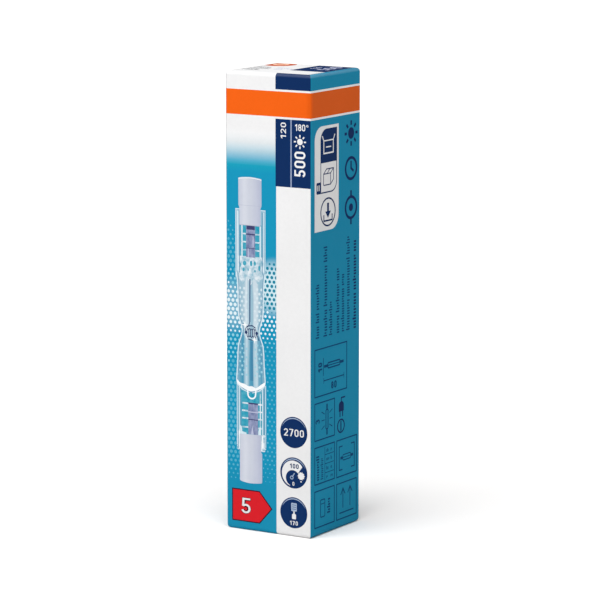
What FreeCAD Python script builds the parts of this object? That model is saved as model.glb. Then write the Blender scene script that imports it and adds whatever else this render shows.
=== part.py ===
import FreeCAD, Part
import os
import Sketcher
from FreeCAD import Placement, Rotation, Vector

# Closed folding carton for a small linear lamp, standing on its end.
# Millimetres, +Z up, origin at the middle of the base, front panel towards -Y.
# The carton is a sealed pack that can't be seen into, so it is one solid: the
# outer form of one creased and folded board blank.
#   - four upright panels that meet at crisp creases of small radius
#   - a closed panel at each end, hinged on the front panel and glued down
#     between the folded ends of the other three, with a fine joint line along
#     its three cut edges; the folds round it are wider and softer
#   - the glued side seam at the rear left corner: the left panel turns into a
#     glue flap under the rear panel, whose cut edge stands proud of it by one
#     board thickness

doc = FreeCAD.newDocument("lamp_carton")

# ---------------------------------------------------------------- dimensions
sheet = doc.addObject("Spreadsheet::Sheet", "Dimensions")
CELLS = (
    ("A1", "carton_width", 21.4),      # across the front panel, X
    ("A2", "carton_depth", 20.5),      # across the side panels, Y
    ("A3", "carton_height", 100.0),    # along Z
    ("A4", "crease_radius", 0.35),     # outside radius of the upright creases
    ("A5", "end_fold_radius", 0.85),   # outside radius of the folds at the ends
    ("A6", "board_thickness", 0.4),    # coated folding boxboard
    ("A7", "seam_set_back", 0.55),     # rear panel's cut edge from the left face
    ("A8", "seam_fold_radius", 0.35),  # glue flap's fold, outside radius
    ("A9", "seam_end_gap", 1.2),       # seam step stops this far from each end
    ("A10", "trim_reach", 1.5),        # how far the seam tool stands outside
    ("A11", "joint_inset", 1.05),      # end panel's joint line from the outer faces
    ("A12", "joint_gap", 0.15),        # width of that joint line
    ("A13", "joint_depth", 0.3),       # its depth, less than the board
)
for cell, alias, value in CELLS:
    sheet.set(cell, str(value))
    sheet.setAlias(cell, alias)
doc.recompute()


def origin_plane(body, role):
    """The body's own origin plane with this role."""
    return next(f for f in body.Origin.OriginFeatures if f.Role == role)


def bind(sketch, index, expression):
    """Drive one sketch constraint from the dimension sheet."""
    sketch.setExpression("Constraints[%d]" % index, expression)


# ---------------------------------------------------------------- the carton
body = doc.addObject("PartDesign::Body", "carton")
body.Label = "carton"
body.Placement = Placement(Vector(0, 0, 0), Rotation())

# Plan outline of the four panels, centred on the origin.
plan = body.newObject("Sketcher::SketchObject", "PanelOutline")
plan.AttachmentSupport = [(origin_plane(body, "XY_Plane"), "")]
plan.MapMode = "FlatFace"
HALF_W, HALF_D = 10.7, 10.25
corners = [
    Vector(-HALF_W, -HALF_D, 0),
    Vector(HALF_W, -HALF_D, 0),
    Vector(HALF_W, HALF_D, 0),
    Vector(-HALF_W, HALF_D, 0),
]
for i in range(4):
    plan.addGeometry(Part.LineSegment(corners[i], corners[(i + 1) % 4]), False)
for i in range(4):
    plan.addConstraint(Sketcher.Constraint("Coincident", i, 2, (i + 1) % 4, 1))
plan.addConstraint(Sketcher.Constraint("Horizontal", 0))
plan.addConstraint(Sketcher.Constraint("Horizontal", 2))
plan.addConstraint(Sketcher.Constraint("Vertical", 1))
plan.addConstraint(Sketcher.Constraint("Vertical", 3))
# opposite corners symmetric about the origin
plan.addConstraint(Sketcher.Constraint("Symmetric", 0, 1, 1, 2, -1, 1))
width_at = plan.addConstraint(Sketcher.Constraint("DistanceX", 0, 1, 0, 2, 21.4))
depth_at = plan.addConstraint(Sketcher.Constraint("DistanceY", 1, 1, 1, 2, 20.5))
bind(plan, width_at, "Dimensions.carton_width")
bind(plan, depth_at, "Dimensions.carton_depth")

block = body.newObject("PartDesign::Pad", "PackBlock")
block.Profile = plan
block.Type = "Length"
block.setExpression("Length", "Dimensions.carton_height")
doc.recompute()


def edges_where(shape, test):
    """Names of the shape's edges whose ends both pass the test."""
    names = []
    for number, edge in enumerate(shape.Edges, start=1):
        ends = [v.Point for v in edge.Vertexes]
        if len(ends) == 2 and test(ends[0], ends[1]):
            names.append("Edge%d" % number)
    return names


# The four upright creases: scored and folded, so nearly sharp.
upright = edges_where(
    block.Shape, lambda a, b: abs(a.x - b.x) < 1e-6 and abs(a.y - b.y) < 1e-6
)
assert len(upright) == 4, upright
creases = body.newObject("PartDesign::Fillet", "UprightCreases")
creases.Base = (block, upright)
creases.Radius = 0.35
creases.setExpression("Radius", "Dimensions.crease_radius")
doc.recompute()

# The folds round both ends, softer than the creases.
top_z = float(sheet.get("carton_height"))
rims = edges_where(
    creases.Shape,
    lambda a, b: abs(a.z - b.z) < 1e-6 and (abs(a.z) < 1e-6 or abs(a.z - top_z) < 1e-6),
)
assert len(rims) == 16, rims
folds = body.newObject("PartDesign::Fillet", "EndFolds")
folds.Base = (creases, rims)
folds.Radius = 0.8
folds.setExpression("Radius", "Dimensions.end_fold_radius")
doc.recompute()
before_seam = folds.Shape.Volume

# Section of the glued seam at the rear left corner, cut upward along the corner.
# Lines and one arc, all in the plan: the flap's fold, the flap's flat face
# under the rear panel, the rear panel's cut edge, and a loop closed outside.
seam = body.newObject("Sketcher::SketchObject", "SeamSection")
seam.AttachmentSupport = [(origin_plane(body, "XY_Plane"), "")]
seam.MapMode = "FlatFace"
seam.setExpression(".AttachmentOffset.Base.z", "Dimensions.seam_end_gap")
w2, d2 = HALF_W, HALF_D
t, back, fold, out = 0.4, 0.55, 0.35, 1.5
p_face = Vector(-w2, d2 - t - fold, 0)          # fold begins on the left face
p_flap = Vector(-w2 + fold, d2 - t, 0)          # fold ends on the glue flap
p_under = Vector(-w2 + back, d2 - t, 0)         # foot of the cut edge
p_out_a = Vector(-w2 + back, d2 + out, 0)
p_out_b = Vector(-w2 - out, d2 + out, 0)
p_out_c = Vector(-w2 - out, d2 - t - fold, 0)
centre = Vector(-w2 + fold, d2 - t - fold, 0)
g_arc = seam.addGeometry(
    Part.Arc(
        p_flap,
        centre + Vector(-fold * 0.70710678, fold * 0.70710678, 0),
        p_face,
    ),
    False,
)
g_flap = seam.addGeometry(Part.LineSegment(p_flap, p_under), False)
g_cut = seam.addGeometry(Part.LineSegment(p_under, p_out_a), False)
g_rear = seam.addGeometry(Part.LineSegment(p_out_a, p_out_b), False)
g_side = seam.addGeometry(Part.LineSegment(p_out_b, p_out_c), False)
g_join = seam.addGeometry(Part.LineSegment(p_out_c, p_face), False)
# the arc runs counter-clockwise from the flap's end to the left face
arc = seam.Geometry[g_arc]
arc_at_flap = 1 if arc.StartPoint.distanceToPoint(p_flap) < 1e-6 else 2
arc_at_face = 3 - arc_at_flap
add = lambda *a: seam.addConstraint(Sketcher.Constraint(*a))
add("Coincident", g_arc, arc_at_flap, g_flap, 1)
add("Coincident", g_flap, 2, g_cut, 1)
add("Coincident", g_cut, 2, g_rear, 1)
add("Coincident", g_rear, 2, g_side, 1)
add("Coincident", g_side, 2, g_join, 1)
add("Coincident", g_join, 2, g_arc, arc_at_face)
add("Horizontal", g_flap)
add("Vertical", g_cut)
add("Horizontal", g_rear)
add("Vertical", g_side)
add("Horizontal", g_join)
# the fold is tangent to the flap: its centre lies straight below the flap's end
# and level with the point where it meets the left face
add("Vertical", g_arc, 3, g_arc, arc_at_flap)
add("Horizontal", g_arc, 3, g_arc, arc_at_face)
n = add("Radius", g_arc, fold)
bind(seam, n, "Dimensions.seam_fold_radius")
n = add("DistanceX", g_arc, arc_at_face, -1, 1, w2)
bind(seam, n, "Dimensions.carton_width / 2")
n = add("DistanceY", -1, 1, g_flap, 1, d2 - t)
bind(seam, n, "Dimensions.carton_depth / 2 - Dimensions.board_thickness")
n = add("DistanceX", g_cut, 1, -1, 1, w2 - back)
bind(seam, n, "Dimensions.carton_width / 2 - Dimensions.seam_set_back")
n = add("DistanceX", g_side, 1, -1, 1, w2 + out)
bind(seam, n, "Dimensions.carton_width / 2 + Dimensions.trim_reach")
n = add("DistanceY", -1, 1, g_rear, 1, d2 + out)
bind(seam, n, "Dimensions.carton_depth / 2 + Dimensions.trim_reach")
doc.recompute()

step = body.newObject("PartDesign::Pocket", "GluedSeam")
step.Profile = seam
step.Type = "Length"
step.Reversed = True
step.setExpression(
    "Length", "Dimensions.carton_height - 2 * Dimensions.seam_end_gap"
)
body.Tip = step
doc.recompute()
before_joints = step.Shape.Volume


def joint_line(name, height_expression):
    """A three-sided slot in plan: along the left, rear and right edges of the
    end panel, open at the front, where the panel is hinged."""
    line = body.newObject("Sketcher::SketchObject", name)
    line.AttachmentSupport = [(origin_plane(body, "XY_Plane"), "")]
    line.MapMode = "FlatFace"
    if height_expression:
        line.setExpression(".AttachmentOffset.Base.z", height_expression)
    xo, xi, yf, yo, yi = 9.65, 9.50, -9.40, 9.20, 9.05
    loop = [
        Vector(-xo, yf, 0),
        Vector(-xo, yo, 0),
        Vector(xo, yo, 0),
        Vector(xo, yf, 0),
        Vector(xi, yf, 0),
        Vector(xi, yi, 0),
        Vector(-xi, yi, 0),
        Vector(-xi, yf, 0),
    ]
    count = len(loop)
    for k in range(count):
        line.addGeometry(Part.LineSegment(loop[k], loop[(k + 1) % count]), False)
    for k in range(count):
        line.addConstraint(Sketcher.Constraint("Coincident", k, 2, (k + 1) % count, 1))
    for k, way in enumerate(
        "Vertical Horizontal Vertical Horizontal "
        "Vertical Horizontal Vertical Horizontal".split()
    ):
        line.addConstraint(Sketcher.Constraint(way, k))
    outer_x = "Dimensions.carton_width / 2 - Dimensions.joint_inset"
    outer_y = "Dimensions.carton_depth / 2 - Dimensions.joint_inset"
    for item, expression in (
        (("DistanceX", 0, 1, -1, 1, xo), outer_x),
        (("DistanceX", -1, 1, 2, 1, xo), outer_x),
        (("DistanceY", -1, 1, 1, 1, yo), outer_y),
        (
            ("DistanceY", 0, 1, -1, 1, -yf),
            "Dimensions.carton_depth / 2 - Dimensions.end_fold_radius",
        ),
        (("DistanceX", 3, 2, 3, 1, xo - xi), "Dimensions.joint_gap"),
        (("DistanceX", 7, 2, 7, 1, xo - xi), "Dimensions.joint_gap"),
        (("DistanceY", 5, 1, 1, 2, yo - yi), "Dimensions.joint_gap"),
    ):
        bind(line, line.addConstraint(Sketcher.Constraint(*item)), expression)
    # the front ends of the slot are level with each other
    line.addConstraint(Sketcher.Constraint("Horizontal", 0, 1, 2, 2))
    return line


joints = []
for name, height, upward in (
    ("TopJoint", "Dimensions.carton_height", False),
    ("BottomJoint", None, True),
):
    outline = joint_line(name + "Outline", height)
    doc.recompute()
    slot = body.newObject("PartDesign::Pocket", name)
    slot.Profile = outline
    slot.Type = "Length"
    slot.Reversed = upward
    slot.setExpression("Length", "Dimensions.joint_depth")
    body.Tip = slot
    doc.recompute()
    joints.append(outline)

# ---------------------------------------------------------------- checks
for thing in doc.Objects:
    state = [s for s in thing.State if s in ("Invalid", "Error")]
    assert not state, (thing.Name, thing.State)
for sketch in (plan, seam, *joints):
    assert sketch.solve() == 0, sketch.Name
    assert sketch.FullyConstrained, sketch.Name

shape = body.Shape
assert not shape.isNull() and shape.isValid(), "carton shape"
assert len(shape.Solids) == 1, len(shape.Solids)
cut = before_seam - before_joints
# section of the seam: rectangle beside the cut edge plus the fold's spandrel
run = float(sheet.get("carton_height")) - 2 * float(sheet.get("seam_end_gap"))
sb, tb = float(sheet.get("seam_set_back")), float(sheet.get("board_thickness"))
fr, cr = float(sheet.get("seam_fold_radius")), float(sheet.get("crease_radius"))
spandrel = 1 - 3.14159265 / 4
wanted = run * (sb * tb + spandrel * fr * fr - spandrel * cr * cr)
print("seam removed %.3f mm3, section times length %.3f mm3" % (cut, wanted))
assert abs(cut - wanted) < 0.02 * wanted, (cut, wanted)
slots = before_joints - shape.Volume
g, deep = float(sheet.get("joint_gap")), float(sheet.get("joint_depth"))
inset, soft = float(sheet.get("joint_inset")), float(sheet.get("end_fold_radius"))
along_x = float(sheet.get("carton_width")) - 2 * inset
along_y = float(sheet.get("carton_depth")) - inset - soft
expected = 2 * deep * g * (along_x + 2 * (along_y - g))
print("joint lines removed %.3f mm3, worked out %.3f mm3" % (slots, expected))
assert abs(slots - expected) < 0.01 * expected, (slots, expected)

box = shape.optimalBoundingBox(False, False)
print("carton box", box)
print("carton volume %.1f mm3, %d faces" % (shape.Volume, len(shape.Faces)))
assert abs(box.XLength - float(sheet.get("carton_width"))) < 1e-3
assert abs(box.YLength - float(sheet.get("carton_depth"))) < 1e-3
assert abs(box.ZLength - float(sheet.get("carton_height"))) < 1e-3

# ---------------------------------------------------------------- export
os.makedirs("parts", exist_ok=True)
for part in (body,):
    part.Shape.exportStep("parts/%s.step" % part.Label)
    print("wrote", part.Label)
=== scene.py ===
import math

import bpy
import numpy as np
from mathutils import Matrix, Vector, kdtree
from mathutils.geometry import delaunay_2d_cdt


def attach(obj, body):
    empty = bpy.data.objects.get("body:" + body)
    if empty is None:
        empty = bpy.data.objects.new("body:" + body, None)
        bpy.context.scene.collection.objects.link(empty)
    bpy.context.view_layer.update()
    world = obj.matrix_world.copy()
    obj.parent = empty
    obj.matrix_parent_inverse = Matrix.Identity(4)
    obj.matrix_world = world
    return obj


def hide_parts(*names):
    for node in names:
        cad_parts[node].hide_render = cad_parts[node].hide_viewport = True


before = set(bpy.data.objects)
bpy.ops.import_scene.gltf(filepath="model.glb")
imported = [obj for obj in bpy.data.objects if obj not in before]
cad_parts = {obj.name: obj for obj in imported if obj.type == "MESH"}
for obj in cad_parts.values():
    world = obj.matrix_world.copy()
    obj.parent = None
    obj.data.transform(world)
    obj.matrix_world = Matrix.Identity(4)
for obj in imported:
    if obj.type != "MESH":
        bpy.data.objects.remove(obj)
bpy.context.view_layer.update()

# ---------------------------------------------------------------------------
# The closed carton, in millimetres: origin in the middle of the base, +Z up,
# front panel towards -Y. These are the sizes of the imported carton.
# ---------------------------------------------------------------------------
W, D, H = 21.4, 20.5, 100.0     # width (X), depth (Y), height (Z)
RC = 0.35                       # radius of the four upright creases
RF = 0.85                       # radius of the soft folds round both ends
SEAM_LO, SEAM_HI = 1.2, 98.8    # the glued side seam runs between these heights
SEAM_LEFT_Y = 9.50              # the left panel turns in here, onto the glue flap
SEAM_FLAP_Y = 9.85              # the face of the glue flap, one board thickness down
SEAM_EDGE_X = -10.15            # the cut edge of the rear panel
JOINT = (9.50, 9.65, 9.05, 9.20, -9.40, 0.30)   # joint round an end panel: x in, x out, y in, y out, y of its open ends, depth
A0 = 10.5                       # on the front panel, x = a - A0

PI = math.pi
V0 = RF - RF * PI / 2           # where a panel's lower fold meets the flat of the base
V1 = H - RF + RF * PI / 2       # and the upper fold the flat of the top

PANELS = {
    "front": dict(half=W / 2, off=D / 2, tan=(1, 0), out=(0, -1)),
    "right": dict(half=D / 2, off=W / 2, tan=(0, 1), out=(1, 0)),
    "rear": dict(half=W / 2, off=D / 2, tan=(-1, 0), out=(0, 1)),
    "left": dict(half=D / 2, off=W / 2, tan=(0, -1), out=(-1, 0)),
}

TC = math.acos(1 - RC / RF)
FOLD = np.unique(np.round(np.concatenate([np.linspace(0, TC, 6), np.linspace(TC, PI / 2, 6)]), 9))
LOW = [RF - RF * t for t in FOLD[::-1]]
HIGH = [H - RF + RF * t for t in FOLD]


def turned(v):
    """How far the panel has turned in at v, and its fold angle, below zero at the base."""
    v = np.asarray(v, float)
    lo, hi = v < RF, v > H - RF
    t = np.where(lo, (RF - v) / RF, np.where(hi, (v - (H - RF)) / RF, 0.0))
    t = np.clip(t, 0, PI / 2)
    return RF * (1 - np.cos(t)), np.where(lo, -t, t)


def edge_u(half, v, share=1.0):
    """Where the upright crease between two panels lies on a panel, at v: share 0 is where the crease starts."""
    d, _ = turned(v)
    return half - np.maximum(RC, d) + np.maximum(RC - d, 0) * PI / 4 * share


def on_side(panel, u, v):
    """Point in mm and outward normal of a side panel at (u, v): u along it, v up it and round its folds."""
    p = PANELS[panel]
    u, v = np.asarray(u, float), np.asarray(v, float)
    d, t = turned(v)
    s = p["half"] - np.maximum(RC, d)
    r = np.maximum(RC - d, 0)
    e = np.abs(u) - s
    phi = np.where((e > 0) & (r > 1e-9), e / np.maximum(r, 1e-9), 0)
    phi = np.clip(phi, 0, PI / 4)
    along = np.sign(u) * (np.minimum(np.abs(u), s) + r * np.sin(phi))
    away = p["off"] - d - r * (1 - np.cos(phi))
    z = np.where(t < 0, RF - RF * np.sin(-t), np.where(t > 0, H - RF + RF * np.sin(t), v))
    (tx, ty), (ox, oy) = p["tan"], p["out"]
    P = np.stack([along * tx + away * ox, along * ty + away * oy, z], -1)
    a, b = np.cos(phi), np.sin(phi) * np.sign(u)
    c = np.cos(t)
    N = np.stack([c * (a * ox + b * tx), c * (a * oy + b * ty), np.sin(t)], -1)
    return P, N


# ---------------------------------------------------------------------------
# Flat drawing tools. A shape is a list of parts, and a part is a list of loops
# taken even-odd. All in mm on the panel, seen from outside.
# ---------------------------------------------------------------------------
def steps(r, sweep):
    return max(3, int(math.ceil(abs(sweep) / (2 * math.acos(max(0.2, 1 - 0.006 / max(r, 0.02)))))))


def arc(cx, cy, rx, a0, a1, ry=None, n=None):
    ry = rx if ry is None else ry
    a0, a1 = math.radians(a0), math.radians(a1)
    n = n or steps(max(rx, ry), a1 - a0)
    t = np.linspace(a0, a1, n + 1)
    return np.stack([cx + rx * np.cos(t), cy + ry * np.sin(t)], -1)


def circle(cx, cy, r, n=None, ry=None):
    return arc(cx, cy, r, 0, 360, ry=ry, n=n)[:-1]


def rect(x0, y0, x1, y1, r=0.0):
    """Rectangle; r is one corner radius, or four from lower left, anticlockwise."""
    rs = (r,) * 4 if np.isscalar(r) else r
    out = []
    for (cx, cy, sx, sy, a), rr in zip(((x0, y0, 1, 1, 180), (x1, y0, -1, 1, 270), (x1, y1, -1, -1, 0), (x0, y1, 1, -1, 90)), rs):
        if rr <= 0:
            out.append(np.array([[cx, cy]]))
        else:
            out.append(arc(cx + sx * rr, cy + sy * rr, rr, a, a + 90))
    return np.concatenate(out)


def poly(*pts):
    return np.array(pts, float)


def offset_line(path, w, closed=False):
    """The two sides of a line of width w, with mitred joins."""
    p = np.asarray(path, float)
    keep = np.ones(len(p), bool)
    keep[1:] = np.linalg.norm(np.diff(p, axis=0), axis=1) > 1e-6
    p = p[keep]
    if closed and np.linalg.norm(p[0] - p[-1]) < 1e-6:
        p = p[:-1]
    d = np.roll(p, -1, 0) - p
    d /= np.maximum(np.linalg.norm(d, axis=1)[:, None], 1e-12)
    n = np.stack([-d[:, 1], d[:, 0]], -1)
    if closed:
        a, b = np.roll(n, 1, 0), n
    else:
        a, b = np.vstack([n[:1], n[:-1]]), np.vstack([n[:-1], n[-2:-1]])
    m = a + b
    m /= np.maximum((m * m).sum(1)[:, None] / 2, 0.35)
    return p + m * w / 2, p - m * w / 2


def stroke(path, w, closed=False, caps=False):
    """Parts of a line of width w."""
    left, right = offset_line(path, w, closed)
    if closed:
        return [[left, right]]
    parts = [[np.vstack([left, right[::-1]])]]
    if caps:
        parts += [[circle(*path[0], w / 2)], [circle(*path[-1], w / 2)]]
    return parts


def moved(parts, dx=0.0, dy=0.0, rot=0.0, k=1.0, kx=None):
    c, s = math.cos(math.radians(rot)), math.sin(math.radians(rot))
    kx = k if kx is None else kx
    M = np.array([[c * kx, s * kx], [-s * k, c * k]])
    return [[loop @ M + (dx, dy) for loop in part] for part in parts]


def smooth(points, n=6):
    """A smooth curve through the points."""
    p = np.asarray(points, float)
    q = np.vstack([2 * p[0] - p[1], p, 2 * p[-1] - p[-2]])
    out = []
    for i in range(1, len(q) - 2):
        t = np.linspace(0, 1, n, endpoint=False)[:, None]
        a, b, c, d = q[i - 1], q[i], q[i + 1], q[i + 2]
        out.append(0.5 * (2 * b + (c - a) * t + (2 * a - 5 * b + 4 * c - d) * t ** 2 + (3 * b - a - 3 * c + d) * t ** 3))
    return np.vstack(out + [p[-1:]])


def figure(ch, t):
    """Plain stroke-built numeral, 1 high and 0.56 wide, of stroke t."""
    w, h = 0.56, t / 2
    cx, rx = w / 2, (w - t) / 2
    if ch == "0":
        return stroke(rect(h, h, w - h, 1 - h, rx), t, True)
    if ch == "1":
        x = 0.36
        return [[rect(x - h, 0, x + h, 1)], [poly((x, 1), (x - h, 1), (0.06, 0.80), (0.06, 0.80 - 1.15 * t), (x, 1 - 1.3 * t))]]
    if ch == "2":
        ry = 0.285 - h / 2
        top = arc(cx, 1 - h - ry, rx, 172, -32, ry=ry, n=16)
        return stroke(np.vstack([top, [[0.62 * t, 0.6 * t]]]), t) + [[rect(0, 0, w, 0.95 * t)]]
    if ch == "3":
        m = 0.53
        r1, r2 = (1 - h - m) / 2, (m - h) / 2
        return stroke(arc(cx, m + r1, rx * 0.95, 165, -90, ry=r1, n=18), t) + stroke(arc(cx, m - r2, rx, 90, -165, ry=r2, n=18), t)
    if ch == "4":
        return [[poly((0.40, 1), (0.40 - 1.2 * t, 1), (0.0, 0.30), (0.0, 0.20), (w, 0.20), (w, 0.20 + 0.92 * t), (1.22 * t, 0.20 + 0.92 * t))],
                [rect(0.41 - h, 0, 0.41 + h, 0.52)]]
    if ch == "5":
        ry = (0.62 - t) / 2
        return [[rect(0.07, 1 - 0.95 * t, w - 0.03, 1)], [poly((0.07, 1), (0.07 + t, 1), (0.05 + t, 0.50), (0.045, 0.46))]] + \
            stroke(arc(cx - 0.01, h + ry, rx, 138, -160, ry=ry, n=20), t)
    if ch in "69":
        ry = (0.61 - t) / 2
        stem = smooth([(h, h + ry - 0.02), (h + 0.02, 0.50), (0.19, 0.74), (0.40, 1.0)], 6)
        parts = stroke(circle(cx, h + ry, rx, 24, ry=ry), t, True) + stroke(stem, t)
        return parts if ch == "6" else moved(parts, w, 1, 180)
    if ch == "7":
        return [[poly((0, 1), (w, 1), (w, 1 - 0.95 * t), (0.12 + 1.18 * t, 0), (0.12, 0), (w - 1.2 * t, 1 - 0.95 * t), (0, 1 - 0.95 * t))]]
    if ch == "8":
        m = 0.53
        r1, r2 = (1 - h - m) / 2, (m - h) / 2
        return stroke(circle(cx, m + r1, rx * 0.92, 22, ry=r1), t, True) + stroke(circle(cx, m - r2, rx, 22, ry=r2), t, True)
    return []


def number(text, h, x, y, t=0.16, rot=0.0, squeeze=1.0, track=0.10, centre=False):
    """Plain number of height h, its baseline starting (or centred) at x, y."""
    parts, at = [], 0.0
    for ch in text:
        wide = 0.56 if ch != "1" else 0.50
        parts += moved(figure(ch, t), at, 0)
        at += wide + track
    wide = at - track
    parts = moved(parts, -wide / 2 if centre else 0, -0.5 if centre else 0)
    return moved(parts, x, y, rot, h, h * squeeze)


def rows_of_type(x, y, length, h, seed, rot=0.0, heavy=False):
    """A line of small print as fine upright bars, one to three for each character place, with word gaps."""
    rng = np.random.default_rng(seed)
    at, parts = 0.0, []
    bar, step = (0.29 if heavy else 0.22) * h, (0.44 if heavy else 0.38) * h
    while at < length - 0.4 * h:
        for _ in range(int(rng.integers(3, 9))):
            n = int(rng.choice([1, 2, 2, 2, 3]))
            w = bar + (n - 1) * step
            if at + w > length:
                break
            tall = rng.choice([0.70, 0.70, 0.70, 1.0])
            for k in range(n):
                low = 0.0 if k == 0 else rng.choice([0.0, 0.0, 0.22]) * h
                parts.append([rect(at + k * step, low, at + k * step + bar, (tall if k == 0 else 0.70) * h)])
            at += w + 0.20 * h
        at += 0.36 * h
    return moved(parts, x, y, rot)


def sun(cx, cy, r, w=None, rays=8):
    w = w or r * 0.20
    parts = [[circle(cx, cy, r * 0.46)]]
    for i in range(rays):
        a = 2 * PI * i / rays
        c, s = math.cos(a), math.sin(a)
        parts += stroke([(cx + r * 0.64 * c, cy + r * 0.64 * s), (cx + r * c, cy + r * s)], w)
    return parts


def capsule(cx, cy, length, wide, w, rot=0.0):
    """Line glyph of a double-ended linear lamp, lying along x."""
    L, h = length / 2, wide / 2
    parts = stroke(rect(-L * 0.62, -h, L * 0.62, h, h * 0.6), w, True)
    parts += [[rect(-L, -h * 0.52, -L * 0.62, h * 0.52, h * 0.2)], [rect(L * 0.62, -h * 0.52, L, h * 0.52, h * 0.2)]]
    parts += stroke([(-L * 0.62, 0), (L * 0.62, 0)], w * 0.7)
    return moved(parts, cx, cy, rot)


# ---------------------------------------------------------------------------
# The print on each panel, as (ink, parts, clip). Panel coordinates: a from the
# panel's left edge, z up. Later shapes lie over earlier ones.
# ---------------------------------------------------------------------------
BAND = (90.79, 96.18)           # the bright band round the carton
RULES = ((90.36, 90.79), (96.18, 96.61))
SPLIT = 12.58                   # front panel: colour column to the left, white column to the right
FAR = 4.0                       # how far fields run past a panel's edges, so that they wrap the folds


def band(w, ink="orange"):
    return [("white", [[rect(-FAR, a, w + FAR, b)] for a, b in RULES], None),
            (ink, [[rect(-FAR, BAND[0], w + FAR, BAND[1])]], None)]


def glow(a, z):
    """0 to 1: how pale the column's ground is beside the lamp's middle."""
    def soft(ca, cz, ra, rz, most):
        q = 1 - min(1.0, ((a - ca) / ra) ** 2 + ((z - cz) / rz) ** 2)
        return most * q * q * (3 - 2 * q)
    return min(1.0, 1.6 * max(soft(*g) for g in GLOWS))


GLOWS = ((12.2, 54.0, 6.4, 7.0, 0.66), (1.5, 49.5, 5.0, 7.0, 0.17))   # middle, half sizes and strength, in mm


def lamp_half(z):
    """Half width of the glass capsule at height z."""
    zs = [30.6, 31.2, 32.2, 33.2, 34.6, 37.0, 39.5, 41.0, 42.2, 43.4, 44.6, 45.8, 47.2, 50.0, 53.0, 54.6, 56.0, 57.2]
    hs = [0.35, 2.30, 3.42, 3.66, 3.55, 3.38, 3.30, 3.12, 2.66, 2.22, 2.18, 2.62, 3.10, 3.24, 3.28, 3.38, 3.56, 3.64]
    return float(np.interp(z, zs, hs))


AX = 6.08                       # the lamp's axis


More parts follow.
